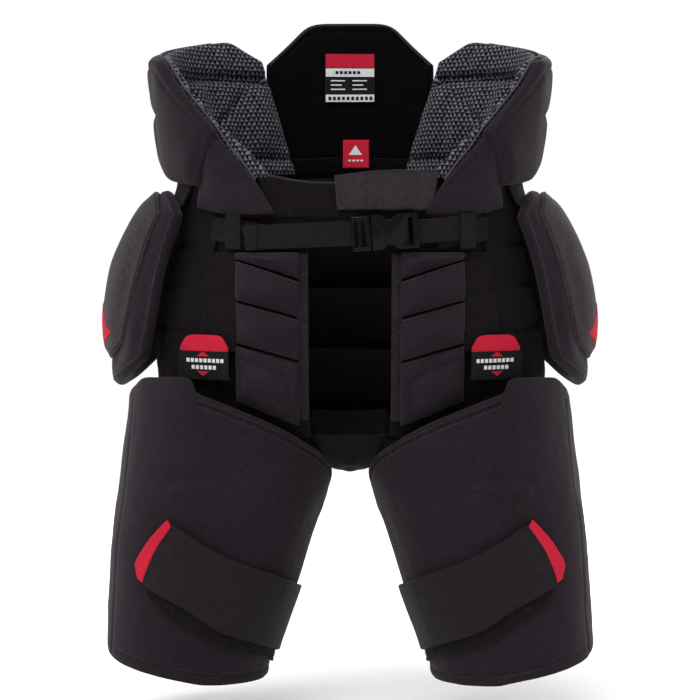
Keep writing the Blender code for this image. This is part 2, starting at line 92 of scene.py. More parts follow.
@dataclass(frozen=True)
class BodyForm:
    """A rounded body shape that pads are drawn on.

    rows holds (height, centre, half width, half depth) in millimetres.
    """

    rows: tuple[tuple[float, float, float, float], ...]
    run: Run = Run.AROUND

    def sizes(self, height: np.ndarray) -> np.ndarray:
        """The section's centre, half width and half depth at some heights.

        Args:
            height: heights in millimetres.

        Returns:
            An array of shape (3, number of heights), on a smooth curve through the rows.
        """
        table = np.array(self.rows, float)
        last = len(table) - 1
        first = np.clip(np.searchsorted(table[:, 0], height) - 1, 0, last - 1)
        before, start = table[np.maximum(first - 1, 0)], table[first]
        end, after = table[first + 1], table[np.minimum(first + 2, last)]
        span = (end - start)[:, :1]
        t = np.clip((height[:, None] - start[:, :1]) / span, 0, 1)
        slope_in = (end - before) / (end - before)[:, :1] * span
        slope_out = (after - start) / (after - start)[:, :1] * span
        rise = end - start
        curve = (
            start + slope_in * t + (
                3 * rise - 2 * slope_in - slope_out
            ) * t**2 + (slope_in + slope_out - 2 * rise) * t**3
        )
        return curve[:, 1:].T

    def point(self, u: np.ndarray, height: np.ndarray) -> np.ndarray:
        """Points on the form, shape (n, 3), in millimetres."""
        centre, half_width, half_depth = self.sizes(height)
        if self.run is Run.AROUND:
            across, ahead = np.sin(np.radians(u)), np.cos(np.radians(u))
            share = (abs(across) / half_width) ** LEAN + (abs(ahead) / half_depth) ** LEAN
            reach = share ** (-1 / LEAN)
            return np.stack([centre + reach * across, -reach * ahead, height], 1)
        share = np.maximum(1 - (abs(u) / half_width) ** LEAN, 1e-9)
        y = half_depth * share ** (1 / LEAN)
        return np.stack([u, y if self.run is Run.BACK else -y, height], 1)

    def outward(self, points: np.ndarray) -> np.ndarray:
        """Level directions away from the form's upright centre line."""
        centre = self.sizes(points[:, 2])[0]
        away = np.stack([points[:, 0] - centre, points[:, 1], 0 * centre], 1)
        return away / np.maximum(np.linalg.norm(away, axis=1, keepdims=True), 1e-9)

    def lifted(self, u: np.ndarray, height: np.ndarray, distance: np.ndarray) -> np.ndarray:
        """Points that stand off the form along its outward normal.

        Args:
            u: first coordinates on the form.
            height: heights.
            distance: how far each point stands off.

        Returns:
            An array of points, shape (n, 3), in millimetres.
        """
        step = 0.05
        point = self.point(u, height)
        along = self.point(u + step, height) - self.point(u - step, height)
        rising = self.point(u, height + step) - self.point(u, height - step)
        normal = np.cross(along, rising)
        normal /= np.linalg.norm(normal, axis=1, keepdims=True)
        facing = np.sign((normal * self.outward(point)).sum(1))
        return point + normal * (facing * distance)[:, None]


TRUNK_ROWS = (
    (150, 0, 134, 60), (190, 0, 142, 66), (230, 0, 146, 79), (270, 0, 143, 86), (310, 0, 136, 86),
    (350, 0, 127, 83), (385, 0, 129, 84), (405, 0, 135, 87), (445, 0, 141, 92), (500, 0, 147.5, 97),
    (545, 0, 152, 101),
)
TRUNK = BodyForm(TRUNK_ROWS)
FRONT = BodyForm(TRUNK_ROWS, Run.FRONT)
BACK = BodyForm(TRUNK_ROWS, Run.BACK)
THIGH = BodyForm(
    (
        (-5, 130, 52, 54), (26, 127, 54, 58), (76, 117, 62, 64), (122, 108, 67.5, 70), (152, 99.5, 71, 75),
        (175, 95, 73, 79), (210, 91, 73, 84), (245, 88, 72, 88),
    )
)
HIP = BodyForm(
    (
        (220, 0, 179, 94), (250, 0, 174.5, 96), (290, 0, 171, 93), (314, 0, 167, 91), (338, 0, 160, 88),
        (364, 0, 146, 85), (392, 0, 133.5, 82),
    )
)


def mix(first: float, second: float, share: float) -> float:
    """The value a share of the way from one to the other."""
    return first + (second - first) * share


def walk(points: Points, share: np.ndarray, soft: float = 0.3) -> np.ndarray:
    """Places along a list of points, evenly by number, with its corners rounded.

    Args:
        points: the line's points.
        share: how far along, 0 to 1.
        soft: half the length of a rounded corner, in point intervals.

    Returns:
        An array of shape (n, number of coordinates).
    """
    table = np.array(points, float)
    place = share * (len(table) - 1)
    reach = np.minimum(np.minimum(place, len(table) - 1 - place), soft)
    found = np.zeros((len(share), table.shape[1]))
    offsets = (-1.0, -0.5, 0.0, 0.5, 1.0)
    for offset in offsets:
        for k in range(table.shape[1]):
            found[:, k] += np.interp(place + offset * reach, range(len(table)), table[:, k])
    return found / len(offsets)


def ripple(points: np.ndarray, size: float, seed: int) -> np.ndarray:
    """Smooth noise from -1 to 1 at some points, with waves about as long as size."""
    cells = 16
    lattice = np.random.default_rng(seed).uniform(-1, 1, (cells, cells, cells))
    place = points / size + seed
    corner = np.floor(place).astype(int)
    t = place - corner
    t = t * t * (3 - 2 * t)
    total = np.zeros(len(points))
    for step in itertools.product((0, 1), repeat=3):
        weight = np.prod(np.where(step, t, 1 - t), axis=1)
        at = (corner + step) % cells
        total += weight * lattice[at[:, 0], at[:, 1], at[:, 2]]
    return total


# --- node trees ---------------------------------------------------------------------------


class Wiring:
    """Adds nodes to one tree and joins them up."""

    def __init__(self, tree: bpy.types.NodeTree) -> None:
        """Keeps the tree to work on."""
        self.tree = tree

    def add(self, kind: str, inputs: dict | None = None, **settings: object) -> bpy.types.Node:
        """Adds a node.

        Args:
            kind: the node's type name.
            inputs: values or sockets for its inputs, by name or by number.
            settings: the node's own properties.

        Returns:
            The new node.
        """
        node = self.tree.nodes.new(kind)
        for name, value in settings.items():
            setattr(node, name, value)
        for name, value in (inputs or {}).items():
            if isinstance(value, bpy.types.NodeSocket):
                self.tree.links.new(value, node.inputs[name])
            else:
                node.inputs[name].default_value = value
        return node

    def math(self, operation: str, *values: object) -> bpy.types.NodeSocket:
        """The result of a Math node."""
        node = self.add("ShaderNodeMath", dict(enumerate(values)), operation=operation)
        return node.outputs[0]

    def ramp(self, value: object, low: float, high: float) -> bpy.types.NodeSocket:
        """0 below low and 1 above high, smooth between."""
        inputs = {"Value": value, "From Min": low, "From Max": high}
        node = self.add("ShaderNodeMapRange", inputs, interpolation_type="SMOOTHSTEP")
        return node.outputs["Result"]

    def noise(self, where: object, scale: object, detail: float = 2.0) -> bpy.types.NodeSocket:
        """A noise texture's value."""
        inputs = {"Vector": where, "Scale": scale, "Detail": detail}
        return self.add("ShaderNodeTexNoise", inputs).outputs[0]

    def blend(self, share: object, first: object, second: object) -> bpy.types.NodeSocket:
        """A colour between two colours."""
        node = self.add("ShaderNodeMix", {0: share, 6: first, 7: second}, data_type="RGBA")
        return node.outputs[2]


SOCKETS = {
    "vector": "NodeSocketVector", "value": "NodeSocketFloat", "colour": "NodeSocketColor",
    "geometry": "NodeSocketGeometry", "material": "NodeSocketMaterial", "whole": "NodeSocketInt",
}


def new_group(
    name: str, kind: str, takes: dict[str, str], gives: dict[str, str]
) -> tuple[Wiring, dict, bpy.types.Node]:
    """Starts a node group.

    Args:
        name: the group's name.
        kind: its tree type.
        takes: its inputs' names and socket kinds.
        gives: its outputs' names and socket kinds.

    Returns:
        The wiring, the input sockets by name, and the output node.
    """
    tree = bpy.data.node_groups.new(name, kind)
    for names, side in ((takes, "INPUT"), (gives, "OUTPUT")):
        for label, socket in names.items():
            tree.interface.new_socket(name=label, in_out=side, socket_type=SOCKETS[socket])
    wiring = Wiring(tree)
    given = wiring.add("NodeGroupInput")
    return wiring, {label: given.outputs[label] for label in takes}, wiring.add("NodeGroupOutput")


def cloth_group() -> bpy.types.NodeTree:
    """Plain cloth: a fine crossed weave, uneven dye and a few light specks of lint."""
    takes = {"Surface": "vector", "Place": "vector", "Pitch": "value"}
    gives = {"Height": "value", "Tone": "value", "Lint": "value"}
    w, given, out = new_group("woven_cloth", "ShaderNodeTree", takes, gives)
    split = w.add("ShaderNodeSeparateXYZ", {0: given["Surface"]})
    turns = w.math("DIVIDE", math.pi, given["Pitch"])
    warp = w.math("SINE", w.math("MULTIPLY", split.outputs[0], turns))
    weft = w.math("SINE", w.math("MULTIPLY", split.outputs[1], turns))
    slub = w.noise(given["Place"], 900.0, 3.0)
    weave = w.math("MULTIPLY", warp, weft)
    height = w.math("ADD", w.math("MULTIPLY", weave, 0.5), slub)
    patchy = w.noise(given["Place"], 22.0, 3.0)
    fine = w.noise(given["Place"], 420.0, 2.0)
    tone = w.math("ADD", w.math("MULTIPLY", patchy, 0.5), w.math("MULTIPLY", fine, 0.9))
    specks = w.noise(given["Place"], 640.0, 1.0)
    w.tree.links.new(height, out.inputs["Height"])
    w.tree.links.new(w.math("ADD", tone, 0.3), out.inputs["Tone"])
    w.tree.links.new(w.ramp(specks, 0.66, 0.76), out.inputs["Lint"])
    return w.tree


def rib_group() -> bpy.types.NodeTree:
    """Ribbed webbing: cords along the strap, crossed by short picks; its tone is painted shade, darker in
    the grooves than on the raised cords, times a wear noise.
    """
    takes = {"Surface": "vector", "Rib": "value", "Pick": "value"}
    w, given, out = new_group("ribbed_web", "ShaderNodeTree", takes, {"Height": "value", "Tone": "value"})
    split = w.add("ShaderNodeSeparateXYZ", {0: given["Surface"]})
    along = w.math("MULTIPLY", split.outputs[0], w.math("DIVIDE", math.tau, given["Pick"]))
    across = w.math("MULTIPLY", split.outputs[1], w.math("DIVIDE", math.tau, given["Rib"]))
    stagger = w.math("ADD", along, w.math("MULTIPLY", w.math("SIGN", w.math("SINE", across)), math.pi / 2))
    cords = w.math("ABSOLUTE", w.math("SINE", across))
    picks = w.math("ADD", w.math("MULTIPLY", w.math("SINE", stagger), 0.5), 0.5)
    height = w.math("ADD", w.math("MULTIPLY", cords, 0.6), w.math("MULTIPLY", picks, 0.4))
    worn = w.noise(given["Surface"], 180.0, 4.0)
    w.tree.links.new(height, out.inputs["Height"])
    # Painted shade: the tone follows the rib height, so the grooves come out darker, and the wear noise
    # scales it.
    w.tree.links.new(
        w.math("MULTIPLY", w.math("ADD", height, 0.6), w.math("ADD", worn, 0.3)), out.inputs["Tone"]
    )
    return w.tree


def triangle_group() -> bpy.types.NodeTree:
    """A knit of small light triangles in staggered rows."""
    takes = {"Surface": "vector", "Pitch": "value"}
    w, given, out = new_group(
        "triangle_knit", "ShaderNodeTree", takes, {"Mask": "value", "Height": "value"}
    )
    wobble = w.noise(given["Surface"], 260.0, 2.0)
    split = w.add("ShaderNodeSeparateXYZ", {0: given["Surface"]})
    row = w.math("ADD", w.math("DIVIDE", split.outputs[1], given["Pitch"]), w.math("MULTIPLY", wobble, 0.7))
    number = w.math("FLOOR", row)
    up = w.math("FRACT", row)
    shifted = w.math("ADD", w.math("MULTIPLY", number, 0.5), w.math("MULTIPLY", wobble, 0.8))
    column = w.math("ADD", w.math("DIVIDE", split.outputs[0], given["Pitch"]), shifted)
    across = w.math("ABSOLUTE", w.math("SUBTRACT", w.math("FRACT", column), 0.5))
    inside = w.math("SUBTRACT", w.math("MULTIPLY", w.math("SUBTRACT", 1.0, up), 0.48), across)
    light = w.ramp(inside, -0.03, 0.06)
    low = w.ramp(up, 0.05, 0.2)
    threads = w.noise(given["Surface"], 1500.0, 2.0)
    mask = w.math("MULTIPLY", w.math("MULTIPLY", light, low), w.math("MULTIPLY", threads, 1.7))
    w.tree.links.new(mask, out.inputs["Mask"])
    w.tree.links.new(w.math("ADD", mask, w.math("MULTIPLY", threads, 0.6)), out.inputs["Height"])
    return w.tree


GROUP_MAKERS = {"woven_cloth": cloth_group, "ribbed_web": rib_group, "triangle_knit": triangle_group}


class Finish:
    """A finish that can be asked for its material, made once."""

    name: str
    slot: str

    def material(self) -> bpy.types.Material:
        """The finish's material."""
        made = bpy.data.materials.get(self.name)
        if made is None:
            made = bpy.data.materials.new(self.name)
            made.use_nodes = True
            made.node_tree.nodes.clear()
            self.wire(Wiring(made.node_tree))
        return made

    def wire(self, w: Wiring) -> None:
        """Builds the material's nodes."""
        raise NotImplementedError

    @staticmethod
    def group(w: Wiring, name: str, inputs: dict) -> bpy.types.Node:
        """Places a shared group in the material."""
        tree = bpy.data.node_groups.get(name) or GROUP_MAKERS[name]()
        node = w.add("ShaderNodeGroup", node_tree=tree)
        for label, value in inputs.items():
            if isinstance(value, bpy.types.NodeSocket):
                w.tree.links.new(value, node.inputs[label])
            else:
                node.inputs[label].default_value = value
        return node

    @staticmethod
    def surface(w: Wiring, inputs: dict, height: object, depth: float) -> None:
        """Ends a material in a Principled shader over a bump.

        Args:
            w: the material's wiring.
            inputs: the shader's inputs.
            height: the bump's height socket.
            depth: the bump's depth in metres.
        """
        bump = w.add("ShaderNodeBump", {"Strength": 1.0, "Distance": depth, "Height": height})
        shader = w.add("ShaderNodeBsdfPrincipled", {**inputs, "Normal": bump.outputs[0]})
        w.add("ShaderNodeOutputMaterial", {"Surface": shader.outputs[0]})


def rgba(colour: tuple[float, float, float], gain: float = 1.0) -> tuple[float, float, float, float]:
    """A colour with its alpha, made lighter or darker."""
    return (*(min(c * gain, 1.0) for c in colour), 1.0)


@dataclass(frozen=True)
class Cloth(Finish):
    """Woven shell cloth or stretch knit."""

    name: str
    slot: str
    colour: tuple[float, float, float]
    pitch: float = 0.9
    roughness: float = 0.8
    sheen: float = 0.07
    depth: float = 0.00012
    lint: float = 0.5
    contrast: float = 0.5
    specular: float = 0.08

    def wire(self, w: Wiring) -> None:
        """Builds the material's nodes."""
        where = w.add("ShaderNodeTexCoord")
        inputs = {
            "Surface": where.outputs["UV"], "Place": where.outputs["Object"], "Pitch": self.pitch * MM
        }
        cloth = self.group(w, "woven_cloth", inputs)
        tone = w.ramp(cloth.outputs["Tone"], 0.5, 1.5)
        dark, light = rgba(self.colour, 1 - self.contrast), rgba(self.colour, 1 + self.contrast)
        base = w.blend(tone, dark, light)
        fleck = w.math("MULTIPLY", cloth.outputs["Lint"], self.lint)
        colour = w.blend(fleck, base, rgba(self.colour, 3.2))
        rough = w.math("ADD", self.roughness - 0.1, w.math("MULTIPLY", tone, 0.2))
        shader = {
            "Base Color": colour, "Roughness": rough, "Specular IOR Level": self.specular,
            "Sheen Weight": self.sheen, "Sheen Roughness": 0.45, "Sheen Tint": rgba(SHEEN_TINT),
        }
        self.surface(w, shader, cloth.outputs["Height"], self.depth)


SHEEN_TINT = (0.95, 0.88, 0.97)


@dataclass(frozen=True)
class Knit(Finish):
    """The liner's grey knit, patterned with light triangles."""

    name: str
    slot: str
    dark: tuple[float, float, float]
    light: tuple[float, float, float]
    pitch: float = 3.6

    def wire(self, w: Wiring) -> None:
        """Builds the material's nodes."""
        where = w.add("ShaderNodeTexCoord")
        knit = self.group(w, "triangle_knit", {"Surface": where.outputs["UV"], "Pitch": self.pitch * MM})
        cloth_inputs = {"Surface": where.outputs["UV"], "Place": where.outputs["Object"], "Pitch": 0.8 * MM}
        cloth = self.group(w, "woven_cloth", cloth_inputs)
        colour = w.blend(knit.outputs["Mask"], rgba(self.dark), rgba(self.light))
        shade = w.ramp(cloth.outputs["Tone"], 0.4, 1.6)
        toned = w.blend(shade, rgba((0.55, 0.55, 0.55)), rgba((1.0, 1.0, 1.0)))
        node = w.add(
            "ShaderNodeMix", {0: 1.0, 6: colour, 7: toned}, data_type="RGBA", blend_type="MULTIPLY"
        )
        shader = {
            "Base Color": node.outputs[2], "Roughness": 0.9, "Specular IOR Level": 0.1,
            "Sheen Weight": 0.08, "Sheen Roughness": 0.5,
        }
        self.surface(w, shader, knit.outputs["Height"], 0.0003)


@dataclass(frozen=True)
class Webbing(Finish):
    """Woven strap or elastic, with ribs along it."""

    name: str
    slot: str
    colour: tuple[float, float, float]
    rib: float = 1.6
    pick: float = 1.1
    depth: float = 0.00035
    roughness: float = 0.7
    sheen: float = 0.05

    def wire(self, w: Wiring) -> None:
        """Builds the material's nodes."""
        where = w.add("ShaderNodeTexCoord")
        inputs = {"Surface": where.outputs["UV"], "Rib": self.rib * MM, "Pick": self.pick * MM}
        web = self.group(w, "ribbed_web", inputs)
        # The colour runs from dark to light with the rib height, as painted shade in the grooves, mixed
        # with the wear noise.
        tone = w.ramp(web.outputs["Tone"], 0.2, 1.4)
        colour = w.blend(tone, rgba(self.colour, 0.45), rgba(self.colour, 1.7))
        shader = {
            "Base Color": colour, "Roughness": self.roughness, "Specular IOR Level": 0.1,
            "Sheen Weight": self.sheen, "Sheen Roughness": 0.4,
        }
        self.surface(w, shader, web.outputs["Height"], self.depth)


@dataclass(frozen=True)
class Moulded(Finish):
    """Moulded plastic with a faint grain."""

    name: str
    slot: str
    colour: tuple[float, float, float]
    roughness: float = 0.32

    def wire(self, w: Wiring) -> None:
        """Builds the material's nodes."""
        where = w.add("ShaderNodeTexCoord")
        grain = w.noise(where.outputs["Object"], 2600.0, 2.0)
        wear = w.ramp(w.noise(where.outputs["Object"], 160.0, 4.0), 0.4, 0.7)
        colour = w.blend(wear, rgba(self.colour, 0.8), rgba(self.colour, 1.5))
        rough = w.math("ADD", self.roughness - 0.06, w.math("MULTIPLY", wear, 0.12))
        shader = {"Base Color": colour, "Roughness": rough, "Specular IOR Level": 0.13}
        self.surface(w, shader, grain, 0.00004)


SHELL = Cloth("shell_cloth", "black_cloth", (0.0118, 0.008, 0.0114))
SHELL_FINE = Cloth("cap_cloth", "black_cloth", (0.031, 0.0255, 0.0285), pitch=1.5, depth=0.00025)
STRETCH = Cloth("stretch_knit", "black_stretch", (0.0042, 0.003, 0.0042), pitch=1.2, sheen=0.03)
# Black stretch knit for the seat quilts, darkened further as painted shade for the girdle's shadowed
# inside.
SHADED_STRETCH = Cloth(
    "quilt_cloth", "black_stretch", (0.003, 0.0022, 0.0031), pitch=1.2, sheen=0.01, specular=0.03
)
# Black lining of the back pad, darkened further as painted shade for the girdle's shadowed inside.
SHADED_BACK_CLOTH = Cloth(
    "back_lining", "black_cloth", (0.0017, 0.0012, 0.0017), pitch=1.2, sheen=0.01, specular=0.03
)
LINER = Knit("triangle_liner", "grey_liner", (0.005, 0.005, 0.009), (0.2, 0.195, 0.24))
FOAM = Cloth("lining_foam", "foam", (0.02, 0.02, 0.022), pitch=2.0, depth=0.0003)
BELT_WEB = Webbing("belt_webbing", "webbing", (0.005, 0.0038, 0.0047))
LOOP_WEB = Webbing("loop_elastic", "webbing", (0.0042, 0.0033, 0.004), rib=1.8, pick=0.9)
ELASTIC = Webbing("ribbed_elastic", "webbing", (0.0082, 0.0058, 0.0074), rib=2.2, pick=0.9)
FLAP_WEB = Webbing("flap_elastic", "webbing", (0.0185, 0.015, 0.0175), rib=2.4, pick=1.2)
PATCH = Cloth("patch_base", "hook_and_loop", (0.0052, 0.0035, 0.0046), pitch=1.0, sheen=0.05, lint=0.9)
LOOPS = Cloth("loop_pile", "hook_and_loop", (0.0105, 0.0065, 0.0088), pitch=1.0, sheen=0.1)
PATCH_LOOPS = Cloth("patch_pile", "hook_and_loop", (0.0105, 0.0072, 0.0095), pitch=1.0, sheen=0.1)
THREAD = Cloth("sewing_thread", "black_cloth", (0.04, 0.034, 0.04), pitch=0.4, sheen=0.05, lint=0.1)
PIPING = Cloth("edge_piping", "black_cloth", (0.02, 0.0155, 0.0195), pitch=0.6, sheen=0.1)
LINER_PIPING = Cloth("liner_piping", "grey_liner", (0.055, 0.05, 0.06), pitch=0.7, sheen=0.05)
RED = Cloth("red_tape", "red_cloth", (0.43, 0.012, 0.032), pitch=0.8, sheen=0.0, contrast=0.18, lint=0.0)
LABEL = Cloth("label_cloth", "label_print", (0.008, 0.008, 0.009), pitch=0.5, sheen=0.0, lint=0.0)
INK = Cloth("label_ink", "label_print", (0.6, 0.6, 0.6), pitch=0.5, sheen=0.0, contrast=0.15, lint=0.0)
PLASTIC = Moulded("buckle_plastic", "black_plastic", (0.003, 0.0026, 0.003), roughness=0.2)


# --- pads -----------------------------------------------------------------------------------


@dataclass(frozen=True)
class Seam:
    """A line pressed into a pad, with rows of stitches along it.

    points are (u, height) on the pad's form, face is 1 for its outer face and -1 for its
    inner one, and hold is how far from the line the simulation keeps the pad still.
    """

    points: tuple[tuple[float, float], ...]
    depth: float = 1.5
    width: float = 2.0
    rows: tuple[float, ...] = (0.0,)
    face: int = 1
    hold: float = 5.0


@dataclass(frozen=True)
class Wave:
    """Ripples over a pad's face: their height, their length and the noise's seed."""

    height: float
    size: float
    seed: int
    stretch: tuple[float, float, float] = (1.0, 1.0, 1.0)


LINER_REACH = 118.0
SEAM_BLOCK = 8000
SEAM_RISE = 14.0
EDGE_FACING = 0.55


@dataclass
class Pad:
    """A padded or flat panel between two edges that are drawn on a form."""

    name: str
    form: BodyForm
    lower: Points
    upper: Points
    inner: float
    outer: float
    finish: Finish
    body: str
    stands_for: tuple[str, ...] = ()
    side: int = 1
    cell: float = 7.0
    levels: int = 2
    crown: float = 0.0
    bow: float = 0.0
    slope: float = 0.0
    flare: float = 0.0
    level: bool = False
    rim: float | None = None
    pull: float = 0.1
    soft: float = 0.3
    seams: tuple[Seam, ...] = ()
    waves: tuple[Wave, ...] = ()
    puff: float = 0.0
    face: int = 1
    fill: float | None = 0.6
    held: str = "stretched"
    joined: tuple[str, str, tuple, tuple] | None = None
    piece: bpy.types.Object | None = None
    spans: tuple[float, float] = (0.0, 0.0)

    def place(self, s: np.ndarray, t: np.ndarray) -> np.ndarray:
        """The (u, height) on the form of some shares across and up the pad."""
        x, y = 2 * s - 1, 2 * t - 1
        s = 0.5 + 0.5 * x * np.sqrt(1 - self.pull * y**2 / 2)
        t = 0.5 + 0.5 * y * np.sqrt(1 - self.pull * x**2 / 2)
        low, high = walk(self.lower, s, self.soft), walk(self.upper, s, self.soft)
        return low + (high - low) * t[:, None]

    def spot(self, s: np.ndarray, t: np.ndarray, distance: np.ndarray) -> np.ndarray:
        """Points in millimetres at some shares of the pad and distances off its form."""
        u, height = self.place(s, t).T
        points = self.form.lifted(u, height, distance)
        points[:, 0] *= self.side
        return points

    def on_form(self, points: np.ndarray, distance: float) -> np.ndarray:
        """Points in millimetres of some (u, height) places, on the pad's side."""
        found = self.form.lifted(points[:, 0], points[:, 1], np.full(len(points), distance))
        found[:, 0] *= self.side
        return found

    def border(self, inset: float, start: float = 0.0, end: float = 1.0, edge: str = "upper") -> tuple:
        """(u, height) places along an edge, a little way in from it.

        Args:
            inset: how far in, in millimetres.
            start: the first share along the edge.
            end: the last share along it.
            edge: upper, lower, first or last.

        Returns:
            The places, as a seam takes them.
        """
        self.measure()
        share = np.linspace(start, end, 25)
        across, up = inset / self.spans[0], inset / self.spans[1]
        level = np.full(25, {"upper": 1 - up, "lower": up, "first": across, "last": 1 - across}[edge])
        s, t = (share, level) if edge in ("upper", "lower") else (level, share)
        s = np.clip(s, across, 1 - across)
        return tuple(map(tuple, self.place(s, np.clip(t, up, 1 - up))))

    def measure(self) -> None:
        """Finds how wide and how high the pad is at its middle, in millimetres."""
        share, half = np.linspace(0, 1, 41), np.full(41, 0.5)
        middle = np.full(41, (self.inner + self.outer) / 2)
        across, up = self.spot(share, half, middle), self.spot(half, share, middle)
        self.spans = tuple(np.linalg.norm(np.diff(run, axis=0), axis=1).sum() for run in (across, up))

    def ticks(self, length: float, radius: float) -> np.ndarray:
        """Grid places from 0 to 1, close together where the rim is rounded."""
        count = max(2, round((length - 2 * radius) / self.cell))
        inside = np.linspace(radius, length - radius, count + 1)
        edge = np.array([0.0, 0.35 * radius])
        return np.concatenate([edge, inside, length - edge[::-1]]) / length

    def build(self) -> None:
        """Makes the pad's coarse closed mesh."""
        self.measure()
        half = (self.outer - self.inner) / 2
        radius = self.rim if self.rim is not None else min(half * 1.3, 0.2 * min(self.spans))
        s_ticks, t_ticks = (self.ticks(length, radius) for length in self.spans)
        s, t = (grid.ravel() for grid in np.meshgrid(s_ticks, t_ticks, indexing="ij"))
        bend = np.ones(len(s))
        for share, length in ((s, self.spans[0]), (t, self.spans[1])):
            near = np.minimum(np.minimum(share, 1 - share) * length / radius, 1)
            bend *= np.sqrt(np.maximum(1 - (1 - near) ** 2, 0))
        swell = self.crown * (1 - (2 * s - 1) ** 4) * (1 - (2 * t - 1) ** 4)
        middle = (self.inner + self.outer) / 2 + self.slope * (t - 0.5)
        middle = middle + self.bow * (1 - (2 * s - 1) ** 4) * (1 - (2 * t - 1) ** 4)
        middle = middle + self.flare * np.clip(s * 4 - 3, 0, 1) ** 2
        out_swell, in_swell = (swell, 0 * swell) if self.face > 0 else (0 * swell, swell)
        outside = self.spot(s, t, middle + half * bend + out_swell)
        inside = self.spot(s, t, middle - half * bend - in_swell)
        rows, columns = len(s_ticks), len(t_ticks)
        number = np.arange(len(s)).reshape(rows, columns)
        under = number.copy()
        core = (slice(1, rows - 1), slice(1, columns - 1))
        under[core] = len(s) + np.arange((rows - 2) * (columns - 2)).reshape(rows - 2, columns - 2)
        points = np.concatenate([outside, inside[number[core].ravel()]])
        faces = np.concatenate([self.quads(number), self.quads(under)[:, ::-1]])
        corner = points[faces]
        volume = (corner[:, 0] * np.cross(corner[:, 1], corner[:, 2])).sum()
        volume += (corner[:, 0] * np.cross(corner[:, 2], corner[:, 3])).sum()
        if volume < 0:
            faces = faces[:, ::-1]
        mesh = bpy.data.meshes.new(self.name)
        mesh.from_pydata((points * MM).tolist(), [], faces.tolist())
        flat = np.stack([(s - 0.5) * self.spans[0], (t - 0.5) * self.spans[1]], 1) * MM
        if self.level:
            flat = self.place(s, t) * (math.radians(LINER_REACH), 1) * MM
        flat = np.concatenate([flat, flat[number[core].ravel()]])
        mesh.uv_layers.new(name="along_surface").data.foreach_set("uv", flat[faces.ravel()].ravel())
        self.piece = bpy.data.objects.new(self.name, mesh)
        bpy.context.scene.collection.objects.link(self.piece)

    @staticmethod
    def quads(number: np.ndarray) -> np.ndarray:
        """The faces of a grid of numbered points."""
        corners = (number[:-1, :-1], number[1:, :-1], number[1:, 1:], number[:-1, 1:])
        return np.stack([corner.ravel() for corner in corners], 1)

    def coordinates(self) -> np.ndarray:
        """The mesh's points in millimetres."""
        found = np.empty(len(self.piece.data.vertices) * 3, np.float32)
        self.piece.data.vertices.foreach_get("co", found)
        return found.reshape(-1, 3).astype(float) / MM

    def normals(self) -> np.ndarray:
        """The mesh's normals at its points."""
        found = np.empty(len(self.piece.data.vertices) * 3, np.float32)
        self.piece.data.vertex_normals.foreach_get("vector", found)
        return found.reshape(-1, 3).astype(float)

    def facing(self, points: np.ndarray, normals: np.ndarray) -> np.ndarray:
        """How far each point faces outwards, from -1 to 1."""
        mirrored = points * (self.side, 1, 1)
        return (normals * (self.side, 1, 1) * self.form.outward(mirrored)).sum(1)

    def seam_line(self, seam: Seam) -> np.ndarray:
        """A seam's points in millimetres, about two millimetres apart."""
        ends = self.on_form(np.array(seam.points, float), 0.0)
        length = np.linalg.norm(np.diff(ends, axis=0), axis=1).sum()
        share = np.linspace(0, 1, max(4, int(length / 2)))
        distance = self.outer if seam.face > 0 else self.inner
        return self.on_form(walk(list(seam.points), share, 0.4), distance)

    def off_seam(self, seam: Seam, points: np.ndarray, normals: np.ndarray) -> np.ndarray:
        """Each point's distance from a seam, measured along the surface."""
        line = self.seam_line(seam)
        found = np.empty(len(points))
        for start in range(0, len(points), SEAM_BLOCK):
            block = slice(start, start + SEAM_BLOCK)
            apart = points[block, None, :] - line[None, :, :]
            nearest = (apart**2).sum(2).argmin(1)
            gap = points[block] - line[nearest]
            rise = np.clip((gap * normals[block]).sum(1), -SEAM_RISE, SEAM_RISE)
            found[block] = np.sqrt(np.maximum((gap**2).sum(1) - rise**2, 0))
        return found

    def pin_group(self) -> None:
        """Marks what the simulation keeps still: the rim, the far face and the seams."""
        points, normals = self.coordinates(), self.normals()
        facing = self.facing(points, normals) * self.face
        still = facing < EDGE_FACING
        for seam in self.seams:
            if seam.face == self.face:
                still |= self.off_seam(seam, points, normals) < seam.hold
        group = self.piece.vertex_groups.new(name="still")
        group.add(np.flatnonzero(still).tolist(), 1.0, "REPLACE")

    def refine(self) -> None:
        """Subdivides the pad and presses its seams and ripples in."""
        smooth = self.piece.modifiers.new("smooth", "SUBSURF")
        smooth.levels = smooth.render_levels = self.levels
        settle(self.piece)
        points, normals = self.coordinates(), self.normals()
        facing = self.facing(points, normals)
        shift = np.zeros(len(points))
        for wave in self.waves:
            lively = np.clip(facing * self.face * 2, 0, 1)
            shift += lively * wave.height * ripple(points * wave.stretch, wave.size, wave.seed)
        for seam in self.seams:
            lively = np.clip(facing * seam.face * 3, 0, 1)
            shift -= lively * seam.depth * np.exp(
                -((self.off_seam(seam, points, normals) / seam.width) ** 2)
            )
        points += normals * shift[:, None]
        self.piece.data.vertices.foreach_set("co", (points * MM).astype(np.float32).ravel())
        self.piece.data.shade_smooth()
        self.piece.data.materials.clear()
        self.piece.data.materials.append(self.finish.material())
        self.piece.data.update()

    def hand_over(self) -> None:
        if self.joined:
            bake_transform(self.piece)
        else:
            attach(self.piece, self.body)
        if self.stands_for:
            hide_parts(*self.stands_for)
        if self.fill is not None:
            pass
        else:
            declare_sheet(self.piece)
        log.info("%s: %d faces", self.piece.name, len(self.piece.data.polygons))


def declare_sheet(piece: bpy.types.Object) -> None:
    """Measures half the area of a piece's closed shell, as a sheet of cloth would be cut; the area is not
    kept.

    Args:
        piece: The sheet, a closed thin shell.
    """
    shell = bmesh.new()
    shell.from_mesh(piece.data)
    area = sum(face.calc_area() for face in shell.faces) / 2
    shell.free()


